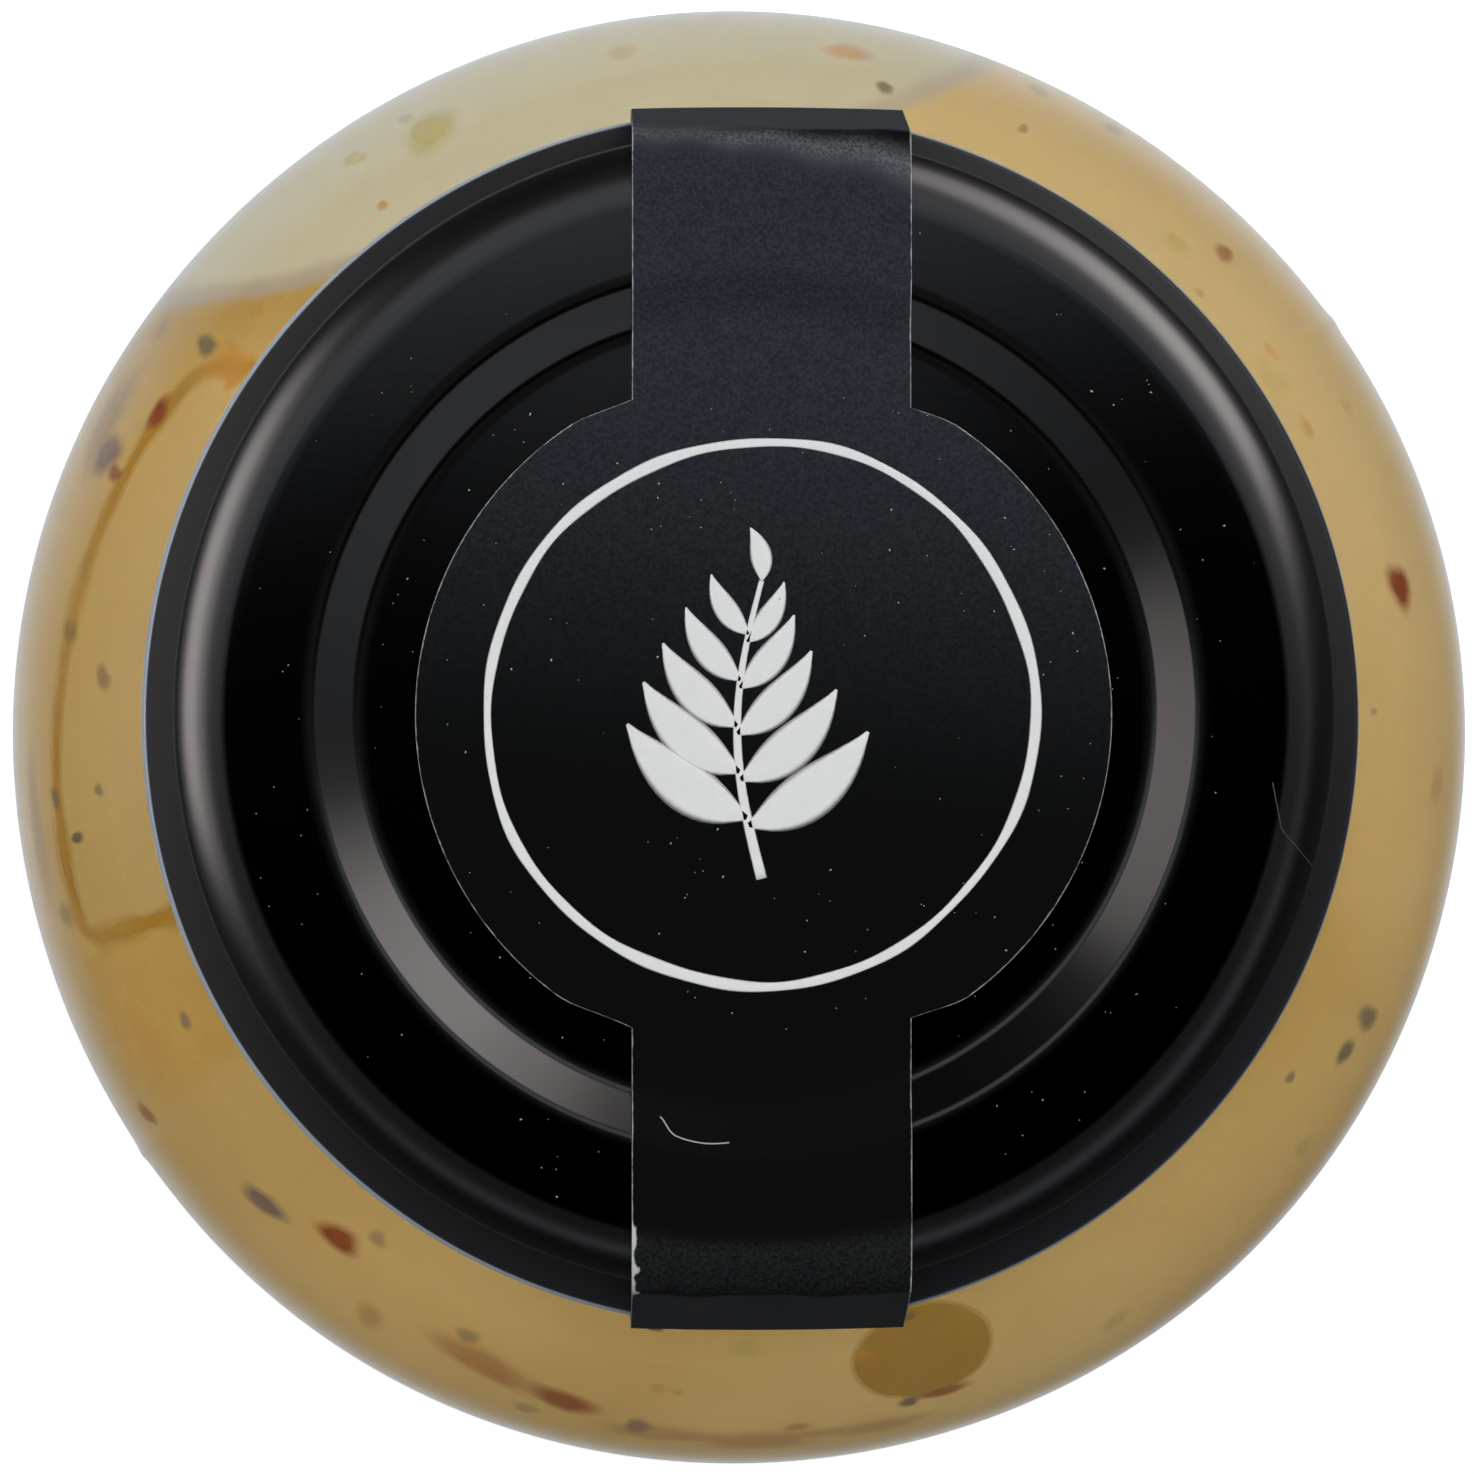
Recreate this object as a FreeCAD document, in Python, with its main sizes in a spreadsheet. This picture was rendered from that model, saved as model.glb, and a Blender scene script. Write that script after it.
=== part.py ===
"""Salad dressing bottle: a clear glass bottle with a twist-off cap, filled with dressing and closed
with a paper seal. Millimetres, +Z up, origin at the middle of the foot.

The glass is a body of revolution with a round shoulder, a transfer bead and four thread starts on its
finish. The cap is one drawn sheet: a sunken panel inside a bevelled ring, a rounded corner, a skirt, a
rolled curl and four lugs that sit under the thread. The seal is a strip of paper with a round middle,
stuck over the cap and down both sides to the neck.
"""

import FreeCAD, Part
import math
import os

import Sketcher

SIZES = {
    # bottle
    "bottle_height": 139.0,
    "body_dia": 59.0,
    "body_wall": 2.2,
    "heel_radius": 4.5,
    "floor_radius": 7.0,
    "base_thick": 3.2,
    "pushup_height": 2.0,
    "foot_width": 3.0,
    "shoulder_radius": 15.0,
    "throat_radius": 8.0,
    "neck_step": 0.4,
    "neck_length": 4.2,
    # finish, the part of the glass that the cap screws on
    "finish_dia": 39.6,
    "finish_wall": 2.6,
    "rim_radius": 0.9,
    "thread_depth": 1.3,
    "thread_width": 1.9,
    "thread_rise": 1.6,
    "thread_turn": 70.0,
    "thread_starts": 4,
    "bead_out": 1.5,
    "bead_height": 3.8,
    "bead_radius": 1.2,
    # contents
    "ullage": 18.0,
    # cap
    "sheet_thick": 0.25,
    "cap_height": 10.4,
    "cap_clearance": 0.35,
    "corner_radius": 2.0,
    "curl_radius": 0.85,
    "curl_out": 1.3,
    "recess_depth": 0.7,
    "ring_run": 1.55,
    "ring_gap": 0.9,
    "ring_soften": 0.3,
    "lug_turn": 30.0,
    "lug_height": 1.6,
    "lug_bite": 0.85,
    "lug_gap": 0.15,
    "bead_gap": 0.5,
    # paper seal
    "paper_thick": 0.12,
    "strap_width": 10.3,
    "strap_shift": 0.62,
    "disc_shift": 0.35,
    "disc_margin": 1.9,
    "waist_bend": 2.0,
    "tail_slope": 35.0,
}

DOC = FreeCAD.newDocument("DressingBottle")
SHEET = DOC.addObject("Spreadsheet::Sheet", "Sizes")


class Size:
    """A length, as the expression that an object is bound to and as its number today."""

    def __init__(self, text, number):
        self.text = text
        self.number = number

    def __float__(self):
        return float(self.number)

    def join(self, sign, other, number):
        right = other.text if isinstance(other, Size) else repr(other)
        return Size(f"({self.text} {sign} {right})", number)

    def __add__(self, other):
        return self.join("+", other, self.number + float(other))

    def __sub__(self, other):
        return self.join("-", other, self.number - float(other))

    def __mul__(self, other):
        return self.join("*", other, self.number * float(other))

    def __truediv__(self, other):
        return self.join("/", other, self.number / float(other))


def fill_sheet():
    """Writes each size into a cell of its own, with its name as the alias."""
    for row, (name, number) in enumerate(SIZES.items(), start=1):
        SHEET.set(f"A{row}", name)
        SHEET.set(f"B{row}", str(number))
        SHEET.setAlias(f"B{row}", name)
    DOC.recompute()


def size(name):
    """A driving size, by its name in the sheet."""
    return Size(f"Sizes.{name}", float(SHEET.get(name)))


fill_sheet()

# Heights, from the rim down.
RIM_Z = size("bottle_height")
CAP_TOP_Z = RIM_Z + size("sheet_thick")
PANEL_Z = CAP_TOP_Z - size("recess_depth")
CAP_LOW_Z = CAP_TOP_Z - size("cap_height")
LUG_TOP_Z = CAP_LOW_Z + size("lug_height")
THREAD_LOW_Z = LUG_TOP_Z + size("lug_gap")
BEAD_TOP_Z = CAP_LOW_Z - size("bead_gap")
BEAD_LOW_Z = BEAD_TOP_Z - size("bead_height")
THROAT_Z = BEAD_LOW_Z - size("neck_length")
LEVEL_Z = RIM_Z - size("ullage")
FLOOR_Z = size("pushup_height") + size("base_thick")

# Radii, from the finish outwards and inwards.
FINISH_R = size("finish_dia") / 2
BORE_R = FINISH_R - size("finish_wall")
NECK_R = FINISH_R + size("neck_step")
BEAD_R = FINISH_R + size("bead_out")
THREAD_R = FINISH_R + size("thread_depth")
SKIRT_IN_R = THREAD_R + size("cap_clearance")
SKIRT_R = SKIRT_IN_R + size("sheet_thick")
CAP_R = SKIRT_R + size("curl_out")
RING_OUT_R = BORE_R - size("ring_gap")
RING_IN_R = RING_OUT_R - size("ring_run")
DISC_R = RING_IN_R - size("disc_margin")
BODY_R = size("body_dia") / 2
BODY_IN_R = BODY_R - size("body_wall")


def new_body(name, label):
    """An empty body. Its label names the sub-part's file."""
    body = DOC.addObject("PartDesign::Body", name)
    body.Label = label
    return body


def new_sketch(body, name, plane):
    """An empty sketch on one of the body's own origin planes."""
    sketch = body.newObject("Sketcher::SketchObject", name)
    for feature in body.Origin.OriginFeatures:
        if feature.Role == plane:
            sketch.AttachmentSupport = (feature, [""])
    sketch.MapMode = "FlatFace"
    return sketch


def new_feature(body, kind, name, sketch=None, **settings):
    """A feature with its settings, turned about the axis that the sketch's upright axis gives."""
    feature = body.newObject(kind, name)
    if sketch is not None:
        feature.Profile = sketch
        sketch.Visibility = False
    if kind in ("PartDesign::Revolution", "PartDesign::Groove", "PartDesign::AdditiveHelix"):
        feature.ReferenceAxis = (sketch, ["V_Axis"])
    for key, setting in settings.items():
        if isinstance(setting, Size):
            feature.setExpression(key, setting.text)
        else:
            setattr(feature, key, setting)
    DOC.recompute()
    return feature


def vector(x, y):
    """A point in a sketch's or a path's own plane."""
    return FreeCAD.Vector(float(x), float(y), 0)


class Outline:
    """A closed chain of lines and arcs in a sketch, drawn at its true size and then held there by
    constraints: a joint is a plain corner, or tangent where an arc runs into its neighbour."""

    def __init__(self, sketch):
        self.sketch = sketch
        self.pieces = []

    def line(self, start, end, tie=None, smooth=False):
        shape = Part.LineSegment(vector(*start), vector(*end))
        return self.add(shape, (1, 2), tie, smooth)

    def arc(self, centre, radius, first, last, smooth=True):
        """An arc from one angle to another, in degrees, either way round."""
        low, high = sorted((first, last))
        circle = Part.Circle(vector(*centre), FreeCAD.Vector(0, 0, 1), float(radius))
        shape = Part.ArcOfCircle(circle, math.radians(low), math.radians(high))
        index = self.add(shape, (1, 2) if last > first else (2, 1), None, smooth)
        if isinstance(radius, Size):
            self.hold("Radius", (index,), radius)
        return index

    def add(self, shape, ends, tie, smooth):
        index = self.sketch.addGeometry(shape, False)
        if tie:
            self.sketch.addConstraint(Sketcher.Constraint(tie, index))
        self.pieces.append((index, ends, smooth))
        return index

    def hold(self, kind, where, length):
        """A driving size, bound to the spreadsheet."""
        index = self.sketch.addConstraint(Sketcher.Constraint(kind, *where, float(length)))
        self.sketch.setExpression(f"Constraints[{index}]", length.text)

    def hold_x(self, index, end, length):
        self.hold("DistanceX", (-1, 1, index, end), length)

    def hold_y(self, index, end, length):
        self.hold("DistanceY", (-1, 1, index, end), length)

    def on_axis(self, index, end):
        self.sketch.addConstraint(Sketcher.Constraint("PointOnObject", index, end, -2))

    def close(self):
        """Joins each piece to the next. The one that runs in smoothly makes the joint tangent."""
        for number, (index, ends, smooth) in enumerate(self.pieces):
            last_index, last_ends, last_smooth = self.pieces[number - 1]
            kind = "Tangent" if smooth or last_smooth else "Coincident"
            self.sketch.addConstraint(
                Sketcher.Constraint(kind, last_index, last_ends[1], index, ends[0])
            )


def side_curve(outline, wide_r, narrow_r, wide_arc, narrow_arc, low_z):
    """The side of the bottle: upright, round the shoulder, back through the throat to the neck.
    The two arcs meet where the horizontal run from neck to body is used up."""
    run = float(wide_r) - float(narrow_r)
    reach = float(wide_arc) + float(narrow_arc)
    turn = math.degrees(math.acos(1 - run / reach))
    shoulder_z = float(THROAT_Z) - reach * math.sin(math.radians(turn))
    side = outline.line((wide_r, low_z), (wide_r, shoulder_z), "Vertical")
    outline.arc((wide_r - wide_arc, shoulder_z), wide_arc, 0, turn)
    outline.arc((narrow_r + narrow_arc, THROAT_Z), narrow_arc, 180 + turn, 180)
    return side


def outer_form(body):
    """The whole outside of the glass, without bead and thread."""
    outline = Outline(new_sketch(body, "OuterProfile", "XZ_Plane"))
    heel = size("heel_radius")
    bead_mid_z = BEAD_LOW_Z + size("bead_height") / 2
    base = outline.line((0, 0), (BODY_R - heel, 0), "Horizontal")
    outline.sketch.addConstraint(Sketcher.Constraint("Coincident", base, 1, -1, 1))
    outline.arc((BODY_R - heel, heel), heel, -90, 0)
    side = side_curve(
        outline, BODY_R, NECK_R, size("shoulder_radius"), size("throat_radius"), heel
    )
    outline.hold_x(side, 1, BODY_R)
    neck = outline.line((NECK_R, THROAT_Z), (NECK_R, bead_mid_z), "Vertical")
    outline.hold_x(neck, 1, NECK_R)
    outline.hold_y(neck, 1, THROAT_Z)
    outline.hold_y(neck, 2, bead_mid_z)
    outline.line((NECK_R, bead_mid_z), (FINISH_R, bead_mid_z), "Horizontal")
    finish = outline.line((FINISH_R, bead_mid_z), (FINISH_R, RIM_Z), "Vertical")
    outline.hold_x(finish, 2, FINISH_R)
    outline.hold_y(finish, 2, RIM_Z)
    outline.line((FINISH_R, RIM_Z), (0, RIM_Z), "Horizontal")
    outline.line((0, RIM_Z), (0, 0), "Vertical")
    outline.close()
    return new_feature(body, "PartDesign::Revolution", "OuterForm", outline.sketch)


def inner_profile(body, name):
    """The inside of the glass up to the rim. The cavity and the contents are both made from it."""
    outline = Outline(new_sketch(body, name, "XZ_Plane"))
    corner = size("floor_radius")
    floor = outline.line((0, FLOOR_Z), (BODY_IN_R - corner, FLOOR_Z), "Horizontal")
    outline.on_axis(floor, 1)
    outline.hold_y(floor, 1, FLOOR_Z)
    outline.arc((BODY_IN_R - corner, FLOOR_Z + corner), corner, -90, 0)
    side = side_curve(
        outline,
        BODY_IN_R,
        BORE_R,
        size("shoulder_radius") - size("body_wall"),
        size("throat_radius") + size("body_wall"),
        FLOOR_Z + corner,
    )
    outline.hold_x(side, 1, BODY_IN_R)
    bore = outline.line((BORE_R, THROAT_Z), (BORE_R, RIM_Z), "Vertical")
    outline.hold_x(bore, 1, BORE_R)
    outline.hold_y(bore, 1, THROAT_Z)
    outline.hold_y(bore, 2, RIM_Z)
    outline.line((BORE_R, RIM_Z), (0, RIM_Z), "Horizontal")
    outline.line((0, RIM_Z), (0, FLOOR_Z), "Vertical")
    outline.close()
    return outline.sketch


def pushup(body):
    """The shallow dome under the base, which leaves a flat ring to stand on."""
    outline = Outline(new_sketch(body, "PushupProfile", "XZ_Plane"))
    half = BODY_R - size("heel_radius") - size("foot_width")
    rise = size("pushup_height")
    radius = (float(half) ** 2 + float(rise) ** 2) / (2 * float(rise))
    lean = math.degrees(math.asin(float(half) / radius))
    base = outline.line((0, 0), (half, 0), "Horizontal")
    outline.sketch.addConstraint(Sketcher.Constraint("Coincident", base, 1, -1, 1))
    outline.hold_x(base, 2, half)
    dome = outline.arc((0, float(rise) - radius), radius, 90 - lean, 90, smooth=False)
    outline.on_axis(dome, 3)
    outline.line((0, rise), (0, 0), "Vertical")
    outline.hold_y(dome, 2, rise)
    outline.close()
    new_feature(body, "PartDesign::Groove", "Pushup", outline.sketch)


def transfer_bead(body):
    """The ring under the cap, with both its outer edges rounded."""
    outline = Outline(new_sketch(body, "BeadProfile", "XZ_Plane"))
    bend = size("bead_radius")
    root_r = FINISH_R - size("finish_wall") / 2
    low = outline.line((root_r, BEAD_LOW_Z), (BEAD_R - bend, BEAD_LOW_Z), "Horizontal")
    outline.hold_x(low, 1, root_r)
    outline.hold_y(low, 1, BEAD_LOW_Z)
    outline.arc((BEAD_R - bend, BEAD_LOW_Z + bend), bend, -90, 0)
    face = outline.line(
        (BEAD_R, BEAD_LOW_Z + bend), (BEAD_R, BEAD_TOP_Z - bend), "Vertical"
    )
    outline.hold_x(face, 1, BEAD_R)
    outline.arc((BEAD_R - bend, BEAD_TOP_Z - bend), bend, 0, 90)
    top = outline.line((BEAD_R - bend, BEAD_TOP_Z), (root_r, BEAD_TOP_Z), "Horizontal")
    outline.hold_y(top, 2, BEAD_TOP_Z)
    outline.line((root_r, BEAD_TOP_Z), (root_r, BEAD_LOW_Z), "Vertical")
    outline.close()
    new_feature(body, "PartDesign::Revolution", "TransferBead", outline.sketch)


def thread(body):
    """Right-hand thread starts, each a short rising ridge whose foot is bedded in the finish."""
    outline = Outline(new_sketch(body, "ThreadProfile", "XZ_Plane"))
    root_r = FINISH_R - size("finish_wall") / 4
    crest = size("thread_width") / 2
    slope = size("thread_width") / 4
    crest_low_z = THREAD_LOW_Z + slope
    foot = outline.line((root_r, THREAD_LOW_Z), (FINISH_R, THREAD_LOW_Z), "Horizontal")
    outline.hold_x(foot, 1, root_r)
    outline.hold_x(foot, 2, FINISH_R)
    outline.hold_y(foot, 1, THREAD_LOW_Z)
    outline.line((FINISH_R, THREAD_LOW_Z), (THREAD_R, crest_low_z))
    face = outline.line((THREAD_R, crest_low_z), (THREAD_R, crest_low_z + crest), "Vertical")
    outline.hold_x(face, 1, THREAD_R)
    outline.hold_y(face, 1, crest_low_z)
    outline.hold_y(face, 2, crest_low_z + crest)
    top_z = THREAD_LOW_Z + size("thread_width")
    outline.line((THREAD_R, crest_low_z + crest), (FINISH_R, top_z))
    top = outline.line((FINISH_R, top_z), (root_r, top_z), "Horizontal")
    outline.hold_x(top, 1, FINISH_R)
    outline.hold_y(top, 1, top_z)
    outline.line((root_r, top_z), (root_r, THREAD_LOW_Z), "Vertical")
    outline.close()
    helix = new_feature(
        body,
        "PartDesign::AdditiveHelix",
        "ThreadStart",
        outline.sketch,
        Mode=0,
        Pitch=size("thread_rise") * 360 / size("thread_turn"),
        Height=size("thread_rise"),
        LeftHanded=False,
    )
    polar_pattern(body, "Thread", helix, outline.sketch, "thread_starts")


def polar_pattern(body, name, feature, sketch, count):
    """Copies of a feature, evenly round the upright axis."""
    pattern = body.newObject("PartDesign::PolarPattern", name)
    pattern.Originals = [feature]
    pattern.Axis = (sketch, ["V_Axis"])
    pattern.Angle = 360
    pattern.setExpression("Occurrences", size(count).text)
    body.Tip = pattern
    DOC.recompute()


def round_edges(body, name, radius, places):
    """Fillets the round edges at the given radii and heights."""
    base = body.Tip
    names = []
    for number, edge in enumerate(base.Shape.Edges, start=1):
        if edge.Degenerated or not isinstance(edge.Curve, Part.Circle):
            continue
        for where_r, where_z in places:
            on_r = abs(edge.Curve.Radius - float(where_r)) < 0.01
            on_z = abs(edge.Curve.Center.z - float(where_z)) < 0.01
            if on_r and on_z:
                names.append(f"Edge{number}")
    fillet = body.newObject("PartDesign::Fillet", name)
    fillet.Base = (base, names)
    fillet.setExpression("Radius", radius.text)
    DOC.recompute()


def glass_bottle():
    body = new_body("GlassBottle", "glass_bottle")
    outer_form(body)
    new_feature(body, "PartDesign::Groove", "Cavity", inner_profile(body, "CavityProfile"))
    pushup(body)
    round_edges(body, "Rim", size("rim_radius"), [(FINISH_R, RIM_Z), (BORE_R, RIM_Z)])
    transfer_bead(body)
    thread(body)
    return body


def dressing():
    """The contents: the cavity's own form, cut off level in the neck."""
    body = new_body("Dressing", "dressing")
    new_feature(body, "PartDesign::Revolution", "Filling", inner_profile(body, "FillProfile"))
    outline = Outline(new_sketch(body, "HeadspaceProfile", "XZ_Plane"))
    low = outline.line((0, LEVEL_Z), (BODY_R, LEVEL_Z), "Horizontal")
    outline.on_axis(low, 1)
    outline.hold_y(low, 1, LEVEL_Z)
    outline.hold_x(low, 2, BODY_R)
    outline.line((BODY_R, LEVEL_Z), (BODY_R, CAP_TOP_Z), "Vertical")
    top = outline.line((BODY_R, CAP_TOP_Z), (0, CAP_TOP_Z), "Horizontal")
    outline.hold_y(top, 1, CAP_TOP_Z)
    outline.line((0, CAP_TOP_Z), (0, LEVEL_Z), "Vertical")
    outline.close()
    new_feature(body, "PartDesign::Groove", "Headspace", outline.sketch)
    return body


def ring_lean():
    """The slope of the bevelled ring, in radians."""
    return math.atan2(float(size("recess_depth")), float(size("ring_run")))


def cap_sheet(body):
    """The drawn sheet: sunken panel, bevelled ring, land, rounded corner and skirt, all one
    thickness. The land's underside rests on the rim."""
    outline = Outline(new_sketch(body, "SheetProfile", "XZ_Plane"))
    thick = size("sheet_thick")
    bend = size("corner_radius")
    corner_r = SKIRT_R - bend
    corner_z = CAP_TOP_Z - bend
    curl_z = CAP_LOW_Z + size("curl_radius")
    under_z = PANEL_Z - thick
    shift = float(thick) * math.tan(ring_lean() / 2)

    panel = outline.line((0, PANEL_Z), (RING_IN_R, PANEL_Z), "Horizontal")
    outline.on_axis(panel, 1)
    outline.hold_y(panel, 1, PANEL_Z)
    outline.hold_x(panel, 2, RING_IN_R)
    ring = outline.line((RING_IN_R, PANEL_Z), (RING_OUT_R, CAP_TOP_Z))
    land = outline.line((RING_OUT_R, CAP_TOP_Z), (corner_r, CAP_TOP_Z), "Horizontal")
    outline.hold_x(land, 1, RING_OUT_R)
    outline.hold_y(land, 1, CAP_TOP_Z)
    outline.arc((corner_r, corner_z), bend, 90, 0)
    skirt = outline.line((SKIRT_R, corner_z), (SKIRT_R, curl_z), "Vertical")
    outline.hold_x(skirt, 2, SKIRT_R)
    outline.hold_y(skirt, 2, curl_z)
    outline.line((SKIRT_R, curl_z), (SKIRT_IN_R, curl_z), "Horizontal")
    inside = outline.line((SKIRT_IN_R, curl_z), (SKIRT_IN_R, corner_z), "Vertical")
    outline.hold_x(inside, 1, SKIRT_IN_R)
    outline.arc((corner_r, corner_z), bend - thick, 0, 90)
    outline.line((corner_r, RIM_Z), (float(RING_OUT_R) + shift, RIM_Z), "Horizontal")
    under = outline.line((float(RING_OUT_R) + shift, RIM_Z), (float(RING_IN_R) + shift, under_z))
    outline.sketch.addConstraint(Sketcher.Constraint("Parallel", ring, under))
    outline.hold("Distance", (under, 1, ring), thick)
    floor = outline.line((float(RING_IN_R) + shift, under_z), (0, under_z), "Horizontal")
    outline.hold_y(floor, 2, under_z)
    outline.line((0, under_z), (0, PANEL_Z), "Vertical")
    outline.close()
    new_feature(body, "PartDesign::Revolution", "Sheet", outline.sketch)


def cap_curl(body):
    """The rolled lower edge, a round bead that stands out past the skirt."""
    sketch = new_sketch(body, "CurlProfile", "XZ_Plane")
    outline = Outline(sketch)
    radius = size("curl_radius")
    centre = (CAP_R - radius, CAP_LOW_Z + radius)
    circle = Part.Circle(vector(*centre), FreeCAD.Vector(0, 0, 1), float(radius))
    index = sketch.addGeometry(circle, False)
    outline.hold("Radius", (index,), radius)
    outline.hold_x(index, 3, centre[0])
    outline.hold_y(index, 3, centre[1])
    new_feature(body, "PartDesign::Revolution", "Curl", sketch)


def cap_lugs(body):
    """Lugs: stretches of the curl pressed inwards until they reach under the thread."""
    outline = Outline(new_sketch(body, "LugProfile", "XZ_Plane"))
    tip_r = THREAD_R - size("lug_bite")
    bend = size("lug_height") / 4
    root_r = CAP_R - size("curl_radius")
    low_z = CAP_LOW_Z + bend
    low = outline.line((root_r, low_z), (tip_r + bend, low_z), "Horizontal")
    outline.hold_x(low, 1, root_r)
    outline.hold_y(low, 1, low_z)
    outline.arc((tip_r + bend, low_z + bend), bend, 270, 180)
    tip = outline.line((tip_r, low_z + bend), (tip_r, LUG_TOP_Z - bend), "Vertical")
    outline.hold_x(tip, 1, tip_r)
    outline.arc((tip_r + bend, LUG_TOP_Z - bend), bend, 180, 90)
    top = outline.line((tip_r + bend, LUG_TOP_Z), (root_r, LUG_TOP_Z), "Horizontal")
    outline.hold_y(top, 2, LUG_TOP_Z)
    outline.line((root_r, LUG_TOP_Z), (root_r, low_z), "Vertical")
    outline.close()
    lug = new_feature(
        body, "PartDesign::Revolution", "Lug", outline.sketch, Angle=size("lug_turn")
    )
    polar_pattern(body, "Lugs", lug, outline.sketch, "thread_starts")


def cap():
    body = new_body("Cap", "cap")
    cap_sheet(body)
    round_edges(
        body,
        "RingEdges",
        size("ring_soften"),
        [(RING_IN_R, PANEL_Z), (RING_OUT_R, CAP_TOP_Z)],
    )
    cap_curl(body)
    cap_lugs(body)
    return body


def tight_path(stops, offset, end_angle):
    """A path pulled tight round a row of circles, as lines and arcs. A stop is (centre, radius, side):
    side is 1 where the path goes over the circle and -1 where it is pressed under it. With an
    offset, the same path that much further out. It ends on its last circle, at the given angle."""
    legs = []
    for (first, first_r, first_side), (last, last_r, last_side) in zip(stops, stops[1:]):
        start_r = first_side * first_r + offset
        end_r = last_side * last_r + offset
        along = last - first
        heading = math.atan2(along.y, along.x) - math.asin((start_r - end_r) / along.Length)
        normal = FreeCAD.Vector(-math.sin(heading), math.cos(heading), 0)
        legs.append((first + normal * start_r, last + normal * end_r, normal))
    edges = []
    for number, (start, end, normal) in enumerate(legs):
        if (end - start).Length > 1e-6:
            edges.append(Part.LineSegment(start, end).toShape())
        centre, radius, side = stops[number + 1]
        reach = side * radius + offset
        if number + 1 < len(legs):
            next_start, next_normal = legs[number + 1][0], legs[number + 1][2]
        else:
            next_normal = vector(math.cos(end_angle), math.sin(end_angle))
            next_start = centre + next_normal * reach
        if radius > 0 and (next_start - end).Length > 1e-6:
            middle = centre + (normal + next_normal).normalize() * reach
            edges.append(Part.Arc(end, middle, next_start).toShape())
    return edges


def seal_stops():
    """What the paper meets on its way from the middle of the panel to the throat: over the ring's
    edge, the cap's corner and its curl, down the bead's face and round its edge to the neck."""
    corner, curl, edge = size("corner_radius"), size("curl_radius"), size("ring_soften")
    bead, waist, throat = size("bead_radius"), size("waist_bend"), size("throat_radius")
    edge_r = float(RING_OUT_R) + float(edge) * math.tan(ring_lean() / 2)
    rows = [
        (0, PANEL_Z, 0, 1),
        (RING_IN_R - waist / 2, PANEL_Z + waist, waist, -1),
        (edge_r, CAP_TOP_Z - edge, edge, 1),
        (SKIRT_R - corner, CAP_TOP_Z - corner, corner, 1),
        (CAP_R - curl, CAP_LOW_Z + curl, curl, 1),
        (BEAD_R + waist, BEAD_LOW_Z + size("bead_height") / 2, waist, -1),
        (BEAD_R - bead, BEAD_LOW_Z + bead, bead, 1),
        (NECK_R + waist, BEAD_LOW_Z - waist, waist, -1),
        (NECK_R + throat, THROAT_Z, throat, -1),
    ]
    return [(vector(r, z), float(radius), side) for r, z, radius, side in rows]


def seal_outline():
    """The die-cut shape seen from above, as a tall prism: a strap with a round middle."""
    height = float(RIM_Z) * 2
    width, reach = float(size("strap_width")), float(BODY_R)
    strap_x = float(size("strap_shift")) - width / 2
    strap = Part.makeBox(width, 2 * reach, height, FreeCAD.Vector(strap_x, -reach, 0))
    middle = FreeCAD.Vector(float(size("disc_shift")), 0, 0)
    return strap.fuse(Part.makeCylinder(float(DISC_R), height, middle)).removeSplitter()


def seal_label():
    """The paper seal: the tight path as a thin section, turned once round and cut to its outline.
    Its tails end on the throat, where that slopes outwards by the tail's slope from upright."""
    stops = seal_stops()
    end_angle = math.radians(float(size("tail_slope")))
    under = tight_path(stops, 0.0, end_angle)
    over = tight_path(stops, float(size("paper_thick")), end_angle)
    ends = [(path[0].Vertexes[0].Point, path[-1].Vertexes[-1].Point) for path in (under, over)]
    closing = [Part.LineSegment(first, last).toShape() for first, last in zip(*ends)]
    wire = Part.Wire(Part.__sortEdges__(under + over + closing))
    section = Part.Face(wire)
    section.rotate(FreeCAD.Vector(), FreeCAD.Vector(1, 0, 0), 90)
    turned = section.revolve(FreeCAD.Vector(), FreeCAD.Vector(0, 0, 1), 360)
    label = DOC.addObject("Part::Feature", "SealLabel")
    label.Label = "seal_label"
    label.Shape = turned.common(seal_outline())
    label.Placement = FreeCAD.Placement()
    return label


def check(parts):
    """Stops the build if an object failed or a sub-part isn't one sound solid."""
    DOC.recompute()
    for item in DOC.Objects:
        if "Invalid" in item.State or "Error" in item.State:
            raise RuntimeError(f"{item.Name} failed: {item.State}")
    for part in parts:
        shape = part.Shape
        if shape.isNull() or not shape.isValid() or len(shape.Solids) != 1:
            raise RuntimeError(f"{part.Label} is not one valid solid")


def main():
    parts = [glass_bottle(), dressing(), cap(), seal_label()]
    check(parts)
    os.makedirs("parts", exist_ok=True)
    for part in parts:
        part.Shape.exportStep(f"parts/{part.Label}.step")
        print(f"{part.Label}: {part.Shape.Volume / 1000:.2f} cm3")


main()
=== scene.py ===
"""Looks of a salad dressing bottle: flint glass, a mustard-coloured dressing with herbs and vegetables,
a black lacquered twist-off cap and a charcoal paper seal. Metres, +Z up, the same frame as the solids.

Most pieces are surfaces worked out on a grid of two parameters: one runs along a profile, the other
round the bottle's axis or across the paper.
"""

import math

import bpy
import numpy as np
from mathutils import Matrix, Vector


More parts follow.
